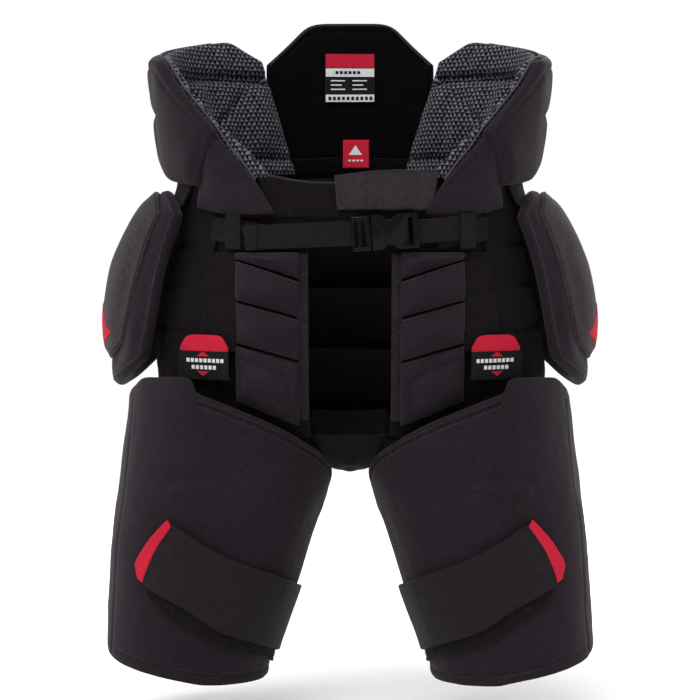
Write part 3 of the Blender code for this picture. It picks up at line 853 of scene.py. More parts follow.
def settle(piece: bpy.types.Object) -> None:
    """Applies every modifier of a piece to its mesh."""
    bpy.context.view_layer.update()
    graph = bpy.context.evaluated_depsgraph_get()
    made = bpy.data.meshes.new_from_object(piece.evaluated_get(graph), depsgraph=graph)
    piece.modifiers.clear()
    piece.vertex_groups.clear()
    piece.data = made


@dataclass(frozen=True)
class Swelling:
    """The short cloth simulation that makes the pads swell."""

    pressure: float = 4.0
    frames: int = 20
    quality: int = 4
    trusted: float = 98.0

    def run(self, pads: list[Pad]) -> None:
        """Simulates all the pads together and keeps the capped result.

        Args:
            pads: the pads; only those with a puff are simulated.
        """
        swelling = [pad for pad in pads if pad.puff > 0]
        for pad in swelling:
            pad.pin_group()
            self.dress(pad.piece)
        scene = bpy.context.scene
        for number in range(1, self.frames + 1):
            scene.frame_set(number)
        graph = bpy.context.evaluated_depsgraph_get()
        for pad in swelling:
            before = pad.coordinates()
            made = bpy.data.meshes.new_from_object(pad.piece.evaluated_get(graph), depsgraph=graph)
            pad.piece.modifiers.clear()
            pad.piece.vertex_groups.clear()
            pad.piece.data = made
            moved = pad.coordinates() - before
            reach = np.linalg.norm(moved, axis=1)
            longest = max(float(np.percentile(reach, self.trusted)), 1e-6)
            eased = np.minimum(reach * pad.puff / longest, pad.puff)
            moved *= (eased / np.maximum(reach, 1e-9))[:, None]
            made.vertices.foreach_set("co", ((before + moved) * MM).astype(np.float32).ravel())
            made.update()
            log.info("%s swelled %.1f mm, kept to %.1f mm", pad.name, longest, pad.puff)
        scene.frame_set(1)

    def dress(self, piece: bpy.types.Object) -> None:
        """Gives a piece its Cloth modifier."""
        cloth = piece.modifiers.new("swell", "CLOTH")
        sheet = cloth.settings
        sheet.quality = self.quality
        sheet.use_pressure = True
        sheet.uniform_pressure_force = self.pressure
        sheet.vertex_group_mass = "still"
        sheet.effector_weights.gravity = 0.0
        cloth.collision_settings.use_collision = False
        cloth.point_cache.frame_start = 1
        cloth.point_cache.frame_end = self.frames


# --- what runs along the seams --------------------------------------------------------------


def stitch_tree() -> bpy.types.NodeTree:
    """Short stitches laid end to end along lines."""
    takes = {
        "Lines": "geometry", "Pitch": "value", "Length": "value", "Thread": "value", "Material": "material"
    }
    w, given, out = new_group("stitches", "GeometryNodeTree", takes, {"Stitches": "geometry"})
    curve = w.add("GeometryNodeMeshToCurve", {"Mesh": given["Lines"]})
    even = w.add("GeometryNodeResampleCurve", {"Curve": curve.outputs[0]}, mode="LENGTH")
    w.tree.links.new(given["Pitch"], even.inputs["Length"])
    stitch = w.add("GeometryNodeMeshUVSphere", {"Segments": 5, "Rings": 4, "Radius": 0.5})
    scale = w.add("ShaderNodeCombineXYZ", {0: given["Thread"], 1: given["Thread"], 2: given["Length"]})
    shaped = w.add("GeometryNodeTransform", {"Geometry": stitch.outputs[0], "Scale": scale.outputs[0]})
    tangent = w.add("GeometryNodeInputTangent")
    turned = w.add("FunctionNodeAlignRotationToVector", {"Vector": tangent.outputs[0]}, axis="Z")
    placed = w.add(
        "GeometryNodeInstanceOnPoints",
        {"Points": even.outputs[0], "Instance": shaped.outputs[0], "Rotation": turned.outputs[0]},
    )
    finish_tree(w, placed.outputs[0], given["Material"], out)
    return w.tree


def piping_tree() -> bpy.types.NodeTree:
    """A round cord along lines."""
    takes = {"Lines": "geometry", "Radius": "value", "Material": "material"}
    w, given, out = new_group("piping", "GeometryNodeTree", takes, {"Piping": "geometry"})
    curve = w.add("GeometryNodeMeshToCurve", {"Mesh": given["Lines"]})
    ring = w.add("GeometryNodeCurvePrimitiveCircle", {"Resolution": 8, "Radius": given["Radius"]})
    tube = w.add(
        "GeometryNodeCurveToMesh",
        {"Curve": curve.outputs[0], "Profile Curve": ring.outputs[0], "Fill Caps": True},
    )
    finish_tree(w, tube.outputs[0], given["Material"], out)
    return w.tree


def pile_tree() -> bpy.types.NodeTree:
    """Small loops of yarn standing all over a surface."""
    takes = {
        "Surface": "geometry", "Density": "value", "Loop": "value", "Yarn": "value", "Seed": "whole",
        "Material": "material",
    }
    w, given, out = new_group("loop_pile", "GeometryNodeTree", takes, {"Pile": "geometry"})
    spots = w.add("GeometryNodeDistributePointsOnFaces", {"Mesh": given["Surface"], "Seed": given["Seed"]})
    w.tree.links.new(given["Density"], spots.inputs["Density"])
    arc = w.add("GeometryNodeCurveArc", {"Resolution": 5, "Radius": given["Loop"], "Sweep Angle": math.pi})
    ring = w.add("GeometryNodeCurvePrimitiveCircle", {"Resolution": 3, "Radius": given["Yarn"]})
    loop = w.add("GeometryNodeCurveToMesh", {"Curve": arc.outputs[0], "Profile Curve": ring.outputs[0]})
    upright = w.add(
        "GeometryNodeTransform", {"Geometry": loop.outputs[0], "Rotation": (math.pi / 2, 0.0, 0.0)}
    )
    lean = w.add("FunctionNodeRandomValue", {"Seed": given["Seed"]}, data_type="FLOAT_VECTOR")
    lean.inputs["Min"].default_value = (-0.7, -0.7, 0.0)
    lean.inputs["Max"].default_value = (0.7, 0.7, math.tau)
    turn = w.add("FunctionNodeEulerToRotation", {0: lean.outputs[0]})
    both = w.add(
        "FunctionNodeRotateRotation", {"Rotation": spots.outputs["Rotation"], "Rotate By": turn.outputs[0]},
        rotation_space="LOCAL",
    )
    placed = w.add(
        "GeometryNodeInstanceOnPoints",
        {"Points": spots.outputs[0], "Instance": upright.outputs[0], "Rotation": both.outputs[0]},
    )
    finish_tree(w, placed.outputs[0], given["Material"], out)
    return w.tree


def finish_tree(w: Wiring, made: object, material: object, out: bpy.types.Node) -> None:
    """Ends a geometry tree: real geometry, smooth, with its material."""
    real = w.add("GeometryNodeRealizeInstances", {"Geometry": made})
    smooth = w.add("GeometryNodeSetShadeSmooth", {"Geometry": real.outputs[0]})
    painted = w.add("GeometryNodeSetMaterial", {"Geometry": smooth.outputs[0], "Material": material})
    w.tree.links.new(painted.outputs[0], out.inputs[0])


TREE_MAKERS = {"stitches": stitch_tree, "piping": piping_tree, "loop_pile": pile_tree}


def grow(
    name: str, base: bpy.types.Mesh, tree_name: str, values: dict[str, object], finish: Finish, body: str
) -> bpy.types.Object:
    """Runs a geometry tree over a mesh and keeps the result as a plain piece.

    Args:
        name: the piece's name.
        base: the mesh that the tree starts from.
        tree_name: which tree.
        values: its named inputs.
        finish: the piece's finish.
        body: the body it rides on.

    Returns:
        The finished piece.
    """
    tree = bpy.data.node_groups.get(tree_name) or TREE_MAKERS[tree_name]()
    piece = bpy.data.objects.new(name, base)
    modifier = piece.modifiers.new(tree_name, "NODES")
    modifier.node_group = tree
    named = {item.name: item.identifier for item in tree.interface.items_tree if item.in_out == "INPUT"}
    for label, value in {**values, "Material": finish.material()}.items():
        modifier[named[label]] = value
    bpy.context.scene.collection.objects.link(piece)
    settle(piece)
    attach(piece, body)
    log.info("%s: %d faces", name, len(piece.data.polygons))
    return piece


def line_mesh(name: str, lines: list[np.ndarray], closed: bool = False) -> bpy.types.Mesh:
    """A mesh of bare edges along some lines of points in millimetres."""
    points, edges = [], []
    for line in lines:
        first = len(points)
        points += (line * MM).tolist()
        edges += [(first + k, first + k + 1) for k in range(len(line) - 1)]
        if closed:
            edges.append((first + len(line) - 1, first))
    mesh = bpy.data.meshes.new(name)
    mesh.from_pydata(points, edges, [])
    return mesh


@dataclass
class Sewing:
    """Gathers what runs along the seams, and makes one piece of it for each body."""

    pitch: float = 3.2
    length: float = 2.2
    thread: float = 0.55
    rise: float = 0.12
    rows: dict[str, list[np.ndarray]] = field(default_factory=dict)
    cords: dict[tuple[str, str, float], list[np.ndarray]] = field(default_factory=dict)
    finishes: dict[str, Finish] = field(default_factory=dict)

    def stitch(self, pad: Pad) -> None:
        """Lays the stitch rows of a pad's seams on its finished surface."""
        rows = [(seam, offset) for seam in pad.seams for offset in seam.rows]
        if not rows:
            return
        body = pad.joined[0] if pad.joined else pad.body
        tree = surface_tree(pad.piece)
        for seam, offset in rows:
            line = self.shifted(pad.seam_line(seam), pad, offset)
            self.rows.setdefault(body, []).append(laid_on(tree, line, self.rise))

    @staticmethod
    def shifted(line: np.ndarray, pad: Pad, offset: float) -> np.ndarray:
        """A line moved sideways along the pad's surface."""
        if not offset:
            return line
        ahead = np.gradient(line, axis=0)
        outward = pad.form.outward(line * (pad.side, 1, 1)) * (pad.side, 1, 1)
        sideways = np.cross(ahead, outward)
        sideways /= np.maximum(np.linalg.norm(sideways, axis=1, keepdims=True), 1e-9)
        return line + sideways * offset

    def pipe(self, pad: Pad, places: tuple, radius: float, finish: Finish, lift: float = 0.0) -> None:
        """Lays a cord on a pad.

        Args:
            pad: the pad it lies on.
            places: (u, height) places along it.
            radius: its radius in millimetres.
            finish: its finish.
            lift: how far its middle stands off the surface.
        """
        seam = Seam(places, face=pad.face)
        line = laid_on(surface_tree(pad.piece), pad.seam_line(seam), lift)
        body = pad.joined[0] if pad.joined else pad.body
        self.cord(body, line, radius, finish)

    def cord(self, body: str, line: np.ndarray, radius: float, finish: Finish) -> None:
        """Keeps a cord's line, in millimetres, for the body it rides on."""
        self.cords.setdefault((body, finish.name, radius), []).append(line)
        self.finishes[finish.name] = finish

    def make(self) -> None:
        """Builds the stitches and the cords."""
        sizes = {"Pitch": self.pitch * MM, "Length": self.length * MM, "Thread": self.thread * MM}
        for body, lines in self.rows.items():
            grow(f"stitches_{body}", line_mesh("stitch_lines", lines), "stitches", sizes, THREAD, body)
        for (body, name, radius), lines in self.cords.items():
            label = f"{name}_{radius:g}_{body}".replace(".", "_")
            values = {"Radius": radius * MM}
            grow(label, line_mesh("cord_lines", lines), "piping", values, self.finishes[name], body)


def surface_tree(piece: bpy.types.Object) -> BVHTree:
    """A search tree over a piece's faces."""
    mesh = piece.data
    points = [v.co.copy() for v in mesh.vertices]
    return BVHTree.FromPolygons(points, [tuple(p.vertices) for p in mesh.polygons])


def laid_on(tree: BVHTree, line: np.ndarray, lift: float) -> np.ndarray:
    """A line in millimetres, moved onto the nearest surface and lifted off it."""
    found = []
    for point in line:
        near, normal, _, _ = tree.find_nearest(Vector(point * MM))
        found.append(near / MM + normal * lift)
    return np.array(found)


def pile_on(name: str, pad: Pad, finish: Finish, density: float, loop: float, yarn: float) -> None:
    """Covers a pad's outer face with loops of yarn.

    Args:
        name: the piece's name.
        pad: the pad.
        finish: the yarn's finish.
        density: loops for each square millimetre.
        loop: a loop's radius.
        yarn: the yarn's radius.
    """
    points, normals = pad.coordinates(), pad.normals()
    facing = pad.facing(points, normals) * pad.face
    keep = facing > 0.6
    faces = [tuple(p.vertices) for p in pad.piece.data.polygons if all(keep[v] for v in p.vertices)]
    mesh = bpy.data.meshes.new(name)
    mesh.from_pydata((points * MM).tolist(), [], faces)
    values = {"Density": density / MM**2, "Loop": loop * MM, "Yarn": yarn * MM, "Seed": len(name)}
    grow(name, mesh, "loop_pile", values, finish, pad.joined[0] if pad.joined else pad.body)


@dataclass
class Applique:
    """Flat shapes printed or sewn on a pad's face: one thin piece for each finish.

    Each shape is four (u, height) corners on the pad's form, in order round it.
    """

    pad: Pad
    finish: Finish
    shapes: list[tuple]
    lift: float = 0.25
    steps: int = 8

    def build(self, name: str) -> None:
        """Makes the piece on the pad's finished surface.

        Args:
            name: the piece's name.
        """
        share = np.linspace(0, 1, self.steps + 1)
        s, t = (grid.ravel() for grid in np.meshgrid(share, share, indexing="ij"))
        tree = surface_tree(self.pad.piece)
        distance = self.pad.outer + 3 if self.pad.face > 0 else self.pad.inner - 3
        number = np.arange(len(s)).reshape(self.steps + 1, self.steps + 1)
        points, faces, flats = [], [], []
        for shape in self.shapes:
            corner = np.array(shape, float)
            low = corner[0] + (corner[1] - corner[0]) * s[:, None]
            high = corner[3] + (corner[2] - corner[3]) * s[:, None]
            places = low + (high - low) * t[:, None]
            first = sum(map(len, points))
            points.append(laid_on(tree, self.pad.on_form(places, distance), self.lift))
            faces.append(Pad.quads(number) + first)
            flats.append(places * MM)
        points, faces = np.concatenate(points), np.concatenate(faces)
        normal = np.cross(*(points[faces[0][k]] - points[faces[0][0]] for k in (1, 3)))
        mirrored = points[:1] * (self.pad.side, 1, 1)
        outward = self.pad.form.outward(mirrored)[0] * (self.pad.side, 1, 1) * self.pad.face
        if normal @ outward < 0:
            faces = faces[:, ::-1]
        mesh = bpy.data.meshes.new(name)
        mesh.from_pydata((points * MM).tolist(), [], faces.tolist())
        mesh.uv_layers.new(name="along_surface").data.foreach_set(
            "uv", np.concatenate(flats)[faces.ravel()].ravel()
        )
        mesh.materials.append(self.finish.material())
        piece = bpy.data.objects.new(name, mesh)
        bpy.context.scene.collection.objects.link(piece)
        thick = piece.modifiers.new("thick", "SOLIDIFY")
        thick.thickness, thick.offset = self.lift * 1.6 * MM, -1.0
        settle(piece)
        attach(piece, self.pad.body)


def bar_row(start: float, end: float, low: float, high: float, wide: float, gap: float) -> list[tuple]:
    """A row of plain bars that stands for a line of print."""
    shapes, place = [], start
    while place + wide <= end:
        shapes.append(((place, low), (place + wide, low), (place + wide, high), (place, high)))
        place += wide + gap
    return shapes


def wedge(centre: float, half: float, foot: float, tip: float) -> tuple:
    """A triangle's four corners, with a very narrow tip."""
    return ((centre - half, foot), (centre + half, foot), (centre + 0.15, tip), (centre - 0.15, tip))


# --- sub-assemblies -------------------------------------------------------------------------


def edge_part(points: Points, start: float, end: float, rise: float = 0.0, count: int = 12) -> Points:
    """Part of an edge that is given as (degrees, height) points, moved up or down."""
    degrees, heights = zip(*points)
    places = np.linspace(start, end, count)
    return [(float(p), float(np.interp(p, degrees, heights)) + rise) for p in places]


@dataclass
class BackRest:
    """The high back pad, the quilted seat and the tailbone pad."""

    foot: float = 399.0
    top: float = 534.0
    seams: tuple[float, ...] = (213.0, 260.0, 310.0, 356.0)

    def build(self) -> list[Pad]:
        """Makes the pads."""
        back = Pad(
            "back_rest", BACK, [(-66, self.foot), (0, self.foot), (66, self.foot)],
            [(-68, 497), (-51, 514), (-33, self.top), (0, self.top), (33, self.top), (51, 514), (68, 497)],
            7.0, 20.0, SHADED_BACK_CLOTH, "girdle", ("back_pad",), rim=8.0, soft=0.25, pull=0.05, puff=1.6,
            face=-1, waves=(Wave(0.5, 34, 3), Wave(0.3, 12, 4)), fill=0.7,
        )
        back.seams = (
            Seam(back.border(9, 0.0, 1.0, "upper"), 1.6, 2.2, (), -1, 4),
            Seam(((-45, 417), (0, 419), (45, 417)), 1.2, 2.0, (0.0,), -1, 4),
            Seam(((-56, 470), (-20, 468), (20, 468), (56, 470)), 2.2, 3.0, (0.0,), 1, 4),
            Seam(((-60, 430), (0, 428), (60, 430)), 2.2, 3.0, (0.0,), 1, 4),
        )
        low = [(118, 176), (135, 184), (160, 189), (180, 189), (200, 189), (225, 184), (242, 176)]
        high = [(118, 400), (140, 404), (160, 408), (200, 408), (220, 404), (242, 400)]
        seat = Pad(
            "seat_cloth", TRUNK, low, high, 10.0, 11.6, STRETCH, "girdle", ("seat_panel",), cell=8.0,
            pull=0.0, waves=(Wave(1.0, 40, 5), Wave(0.4, 14, 6)), fill=None,
        )
        pads = [back, seat]
        for number, (under, over) in enumerate(zip(self.seams, self.seams[1:]), start=1):
            pads.append(
                Pad(
                    f"seat_quilt_{number}", BACK, [(-63, under), (63, under)],
                    [(-63, over - 0.8), (63, over - 0.8)], 1.0, 8.6, SHADED_STRETCH, "girdle",
                    (f"seat_block_{number}",), rim=5.0, pull=0.02, puff=4.0, face=-1,
                    waves=(Wave(0.6, 26, 7 + number),), fill=0.5,
                )
            )
        tail = Pad(
            "tailbone_shield", BACK, [(-22, 206), (0, 202), (22, 206)], [(-40, 338), (0, 342), (40, 338)],
            12.8, 20.5, SHELL, "girdle", ("tailbone_pad",), crown=2.0, puff=3.0,
            seams=(
                Seam(((-34, 308), (0, 311), (34, 308)), 1.8, 2.4),
                Seam(((-28, 262), (0, 264), (28, 262)), 1.8, 2.4),
            ),
            waves=(Wave(0.4, 24, 12),),
        )
        return [*pads, tail]

    def dress(self, pads: dict[str, Pad], sewing: Sewing) -> None:
        """Adds the piping along the back pad's upper edge."""
        back = pads["back_rest"]
        sewing.pipe(back, back.border(2.0, 0.0, 1.0, "upper"), 0.9, PIPING)


@dataclass
class KidneyWrap:
    """One side of the waist: the kidney pad, its liner and the wing towards the buckle."""

    side: int
    front: Points = field(default_factory=lambda: [(54.5, 428), (61, 447), (69, 469), (75, 488)])
    top: Points = field(default_factory=lambda: [(90, 494), (110, 505), (127, 514), (138, 500)])

    def build(self) -> list[Pad]:
        """Makes the pads."""
        word = WORDS[self.side]
        kidney = Pad(
            f"kidney_shell_{word}", TRUNK, [(64, 388), (88, 398), (113, 402), (137, 404)],
            self.front + self.top, 4.0, 15.4, SHELL, "girdle", (f"kidney_pad_{word}",), self.side, rim=7.0,
            soft=0.12, pull=0.0, puff=5.0, waves=(Wave(1.0, 46, 21), Wave(0.4, 15, 22)), fill=0.7,
        )
        kidney.seams = (
            Seam(((80, 446), (100, 449), (120, 452), (137, 455)), 1.4, 3.0, (2.2,), 1, 4),
            Seam(kidney.border(9.5, 0.02, 0.98, "upper"), 1.3, 2.0, (), 1, 4),
        )
        liner = Pad(
            f"kidney_lining_{word}", TRUNK, [(37, 391), (80, 398), (110, 400), (152, 402)],
            [(45.5, 411), (56, 434), (66, 462), (75, 486), (92, 495), (110, 506), (128, 514), (140, 497)],
            -3.0, 3.6, LINER, "girdle", (f"kidney_liner_{word}",), self.side, rim=5.0, soft=0.12, pull=0.0,
            puff=7.0, face=-1, level=True,
            seams=(
                Seam(((66, 458), (95, 476), (120, 482), (142, 481)), 8.5, 3.6, (), -1, 6),
                Seam(((133, 474), (126, 455), (117, 437)), 3.4, 2.6, (), -1, 4),
                Seam(((100, 474), (97, 455), (92, 440)), 2.0, 4.0, (), -1, 4),
                Seam(((52, 409), (90, 413), (120, 414), (150, 415)), 4.0, 3.0, (), -1, 4),
            ),
            waves=(Wave(1.0, 34, 23), Wave(0.6, 13, 24)), fill=0.6,
        )
        wing = Pad(
            f"front_wing_{word}", TRUNK, [(35.5, 364), (46, 363), (58, 364), (69, 370)],
            [(44, 392), (47.5, 403), (52, 416), (56, 428), (58, 434)], 4.2, 11.8, SHELL, "girdle",
            (f"waist_wing_{word}",), self.side, rim=6.0, soft=0.1, pull=0.0, puff=2.0,
            waves=(Wave(0.8, 30, 25), Wave(0.35, 12, 26)),
        )
        wing.seams = (Seam(wing.border(9.0, 0.02, 0.98, "upper"), 1.1, 1.8, (), 1, 4),)
        hanger = Pad(
            f"hip_hanger_{word}", TRUNK, [(72, 372), (90, 374), (106, 372)],
            [(70, 396), (90, 402), (108, 402)], 8.0, 9.8, PATCH, "girdle", (), self.side, cell=4.0,
            slope=-13.0, fill=None,
            joined=("girdle", f"hip_{word}", (self.side * 0.147, 0, 0.396), (self.side * 0.147, 0, 0.380)),
        )
        return [kidney, liner, wing, hanger]

    def dress(self, pads: dict[str, Pad], sewing: Sewing) -> None:
        """Adds the cord between the shell and the liner, from the buckle up and round."""
        wing = pads[f"front_wing_{WORDS[self.side]}"]
        places = [(43.5, 391), (47, 403), (51.5, 416), *self.front, *self.top[:2], (122, 511)]
        sewing.cord(
            "girdle", wing.on_form(walk(places, np.linspace(0, 1, 60), 0.3), 4.6), 0.9, LINER_PIPING
        )


@dataclass
class FrontPanels:
    """One side of the front: stretch panels, fuzzy strip and quilted groin pads."""

    side: int
    inner: float = 37.5
    outer: float = 86.0
    blocks: tuple = (
        ((334, 333), (312.5, 329)), ((311, 327.5), (284, 297.5)), ((282.5, 296), (252, 265)),
        ((250.5, 263.5), (202, 222)),
    )

    def build(self) -> list[Pad]:
        """Makes the panels and the blocks."""
        word = WORDS[self.side]
        thin = {"cell": 8.0, "pull": 0.0, "fill": None, "side": self.side}
        front = Pad(
            f"front_cloth_{word}", TRUNK, [(24.5, 193), (38, 187), (52, 184), (65, 184)],
            [(21.5, 362), (40, 362), (52, 362), (66, 362)], 0.0, 1.6, STRETCH, "girdle",
            (f"front_panel_{word}",), waves=(Wave(0.7, 26, 31),), **thin,
        )
        side = Pad(
            f"side_cloth_{word}", TRUNK, [(60, 216), (90, 208), (121, 190)],
            [(61, 386), (90, 402), (121, 411)], 0.8, 4.2, STRETCH, "girdle", (f"side_panel_{word}",),
            waves=(Wave(1.8, 30, 32), Wave(0.9, 12, 33)), bow=6.0, flare=7.0,
            seams=(
                Seam(((69, 337), (90, 343), (112, 349)), 2.2, 2.6),
                Seam(((69, 306), (90, 313), (112, 320)), 2.2, 2.6),
                Seam(((69, 272), (90, 279), (112, 286)), 2.2, 2.6),
            ),
            **thin,
        )
        side.levels = 2
        strip = Pad(
            f"fuzzy_strip_{word}", FRONT, [(85, 258), (112, 258)], [(84, 334), (110, 334)], 3.4, 6.2, PATCH,
            "girdle", (f"hook_strip_{word}",),
            seams=(
                Seam(((84, 329), (98, 333), (112, 337)), 1.6, 1.8),
                Seam(((84, 297), (98, 301), (112, 305)), 1.6, 1.8),
            ),
            **thin,
        )
        margin = Pad(
            f"groin_margin_{word}", FRONT, [(31, 206), (40, 206)], [(31.5, 333.5), (40, 333.5)], 1.8, 5.4,
            SHELL, "girdle", (), self.side, cell=4.0, rim=1.6, pull=0.0,
            waves=(Wave(1.6, 12, 37), Wave(0.8, 5, 38)), fill=0.3,
            seams=(Seam(((33.2, 208), (33.6, 330)), 0.6, 1.0, (0.0,)),),
        )
        pads = [front, side, strip, margin]
        for number, ((top_in, top_out), (low_in, low_out)) in enumerate(self.blocks, start=1):
            pads.append(
                self.block(
                    number, [(self.inner, low_in), (self.outer, low_out)],
                    [(self.inner, top_in), (self.outer, top_out)],
                )
            )
        return pads

    def block(self, number: int, low: Points, high: Points) -> Pad:
        """One quilted block, from the top down."""
        word = WORDS[self.side]
        return Pad(
            f"groin_quilt_{number}_{word}", FRONT, [(u, z - 0.6) for u, z in low],
            [(u, z + 0.5) for u, z in high], 2.2, 10.5, SHELL, "girdle", (f"groin_block_{number}_{word}",),
            self.side, cell=5.0, rim=5.6, crown=1.6, pull=0.03, puff=5.0,
            waves=(Wave(0.8, 22, 34 + number), Wave(0.3, 9, 44)), fill=0.7, seams=self.quilting(low, high),
        )

    @staticmethod
    def quilting(low: Points, high: Points) -> tuple[Seam, ...]:
        """The stitched rows under a block's top edge, and the channel in a tall block."""
        (u_in, top_in), (u_out, top_out) = high
        rows = [Seam(((u_in + 3, top_in - 3.4), (u_out - 3, top_out - 3.4)), 0.9, 1.0, (0.0,), 1, 2)]
        tall = 33.0
        if top_in - low[0][1] > tall:
            inset = [(u_in + 8, low[0][1] + step) for step in (8, 18, 28)]
            inset += [(u_in + 8, top_in - 14), (u_in + 12, top_in - 8.5), (u_out - 6, top_out - 10)]
            rows.append(Seam(tuple(inset), 1.5, 1.7, (), 1, 3))
        return tuple(rows)

    def dress(self, pads: dict[str, Pad], sewing: Sewing) -> None:
        """Adds the bound edge down the groin pads and the pile on the strip."""
        word = WORDS[self.side]
        for number in range(1, len(self.blocks) + 1):
            block = pads[f"groin_quilt_{number}_{word}"]
            sewing.pipe(block, block.border(0.4, 0.0, 1.0, "upper"), 0.5, PIPING, -0.2)
        pile_on(f"strip_pile_{word}", pads[f"fuzzy_strip_{word}"], LOOPS, 0.9, 0.75, 0.14)


@dataclass
class WaistClosure:
    """The fuzzy waistband, the elastic flap over it, the belt and the labels."""

    belt_height: float = 348.0
    webbing: float = 20.0
    belt_lift: float = 9.0

    def build(self) -> list[Pad]:
        """Makes the pieces."""
        band = Pad(
            "fuzzy_waistband", FRONT, [(-60, 361), (0, 359), (60, 361)],
            [(-72, 397), (-36, 389), (0, 388), (36, 389), (66, 396)], 0.3, 3.3, PATCH, "girdle",
            ("waistband",), cell=6.0, pull=0.0, waves=(Wave(0.8, 26, 51),), fill=None,
        )
        flap = Pad(
            "elastic_flap", FRONT, [(-10, 366.5), (20, 366.5), (62, 366.5)],
            [(-12, 394), (20, 398), (66, 399)], 5.0, 7.6, FLAP_WEB, "flap", ("waist_flap",), cell=5.0,
            pull=0.0, waves=(Wave(0.9, 24, 52, (2.0, 1, 0.5)),), fill=None,
            joined=("girdle", "flap", (0.0535, -0.0875, 0.381), (0.046, -0.0875, 0.381)),
        )
        flap.seams = (
            Seam(((-6, 369), (-6.5, 380), (-7.5, 392)), 0.7, 1.2, (-1.2, 1.2)),
            Seam(((14, 368.5), (13.5, 396)), 0.8, 1.2, (0.0,)),
            Seam(flap.border(2.2, 0.03, 0.97, "upper"), 0.5, 1.0, (0.0,)),
        )
        pads = [band, flap]
        pads.append(self.strap("belt_left", 46.0, 84.0, 1.0, 5.0, "girdle", "belt_strap_left"))
        pads.append(self.strap("belt_right", -77.0, 3.0, -3.4, 0.0, "belt", "belt_strap_right"))
        fold = self.strap("belt_fold", -79.0, -67.0, -4.6, -3.0, "belt", "")
        fold.lower, fold.stands_for = [(-73, 334), (-68, 334.5)], ()
        fold.inner, fold.outer = self.belt_lift + 1.6, self.belt_lift + 3.2
        pads.append(fold)
        for side, word in ((1, "left"), (-1, "right")):
            pads += self.anchor(side, word)
        thin = {"cell": 4.0, "pull": 0.0, "face": -1, "fill": None}
        label = Pad(
            "care_label", BACK, [(-21, 464), (21, 464)], [(-21, 506), (21, 506)], 3.4, 4.8, LABEL, "girdle",
            ("size_label",), waves=(Wave(0.4, 20, 53),), **thin,
        )
        tab = Pad(
            "hanging_tab", BACK, [(-6, 409), (16, 409)], [(-6, 433), (16, 433)], 2.6, 4.4, RED, "girdle",
            ("hang_tab",), waves=(Wave(0.3, 14, 54),), **thin,
        )
        return [*pads, label, tab]

    def strap(
        self, name: str, start: float, end: float, rise: float, lift: float, body: str, node: str
    ) -> Pad:
        """A stretch of the waist belt.

        Args:
            name: the piece's name.
            start: where it starts across the front.
            end: where it ends.
            rise: how far its start stands over the belt's height.
            lift: how far its end does.
            body: the body it rides on.
            node: the node it stands for.

        Returns:
            The strap.
        """
        low, high = self.belt_height - self.webbing / 2, self.belt_height + self.webbing / 2
        return Pad(
            name, FRONT, [(start, low + rise), (end, low + lift)],
            [(start, high + rise), (end, high + lift)], self.belt_lift, self.belt_lift + 1.8, BELT_WEB,
            body, (node,), cell=5.0, pull=0.0, rim=0.8, waves=(Wave(0.4, 24, 55),), fill=None,
        )

    def anchor(self, side: int, word: str) -> list[Pad]:
        """The webbing sewn to the side, and the loop that the belt runs through."""
        low, high = self.belt_height - 12, self.belt_height + 8
        anchor = Pad(
            f"belt_anchor_web_{word}", FRONT, [(66, low), (114, low + 9)], [(66, high), (114, high + 9)],
            3.4, 5.4, BELT_WEB, "girdle", (f"belt_anchor_{word}",), side, cell=5.0, pull=0.0, rim=0.8,
            fill=None,
        )
        anchor.seams = (
            Seam(anchor.border(2.5, 0.05, 0.95, "upper"), 0.4, 0.9),
            Seam(anchor.border(2.5, 0.05, 0.95, "lower"), 0.4, 0.9),
        )
        loop = Pad(
            f"belt_loop_web_{word}", FRONT, [(80, low - 1), (91, low)], [(80, high + 9), (91, high + 9)],
            9.0 if side < 0 else 11.2, 10.6 if side < 0 else 12.8, LOOP_WEB, "girdle",
            (f"belt_loop_{word}",), side, cell=3.5, pull=0.0, rim=0.7, fill=None,
        )
        return [anchor, loop]

    def dress(self, pads: dict[str, Pad], sewing: Sewing) -> None:
        """Adds the labels' printing, the pile and the piping."""
        band = pads["fuzzy_waistband"]
        label, tab = pads["care_label"], pads["hanging_tab"]
        strips = [
            (
                (-20.5, low), (20.5, low), (20.5, high), (-20.5, high)
            ) for low, high in ((464.5, 471), (486, 493))
        ]
        figures = []
        for left in (-16, 2):
            for low, end in ((475, 12), (478.6, 9), (482.2, 12)):
                figures += [((left, low), (left + end, low), (left + end, low + 1), (left, low + 1))]
        Applique(label, INK, strips + figures).build("care_label_strips")
        Applique(
            label, RED, [((-20.5, 493.5), (20.5, 493.5), (20.5, 505.5), (-20.5, 505.5))]
        ).build("care_label_band")
        dark = bar_row(-18, 19, 466.3, 469.2, 2.4, 1.4) + bar_row(-12, 10, 488.3, 490.8, 2.4, 1.2)
        Applique(label, LABEL, dark, 0.5).build("care_label_marks")
        marks = [
            wedge(4.5, 5.5, 420, 428), wedge(4.5, 5.5, 420, 412), *bar_row(-1.5, 12, 414.6, 416, 2.2, 1.2)
        ]
        Applique(tab, INK, marks[:1] + marks[2:], 0.3, 5).build("hanging_tab_marks")
        pile_on("waistband_pile", band, LOOPS, 0.9, 0.75, 0.14)
        sewing.pipe(band, band.border(0.8, 0.0, 1.0, "upper"), 0.9, PIPING, 0.3)
        flap = pads["elastic_flap"]
        sewing.pipe(flap, flap.border(0.3, 0.3, 1.0, "upper"), 0.7, PIPING, 0.0)


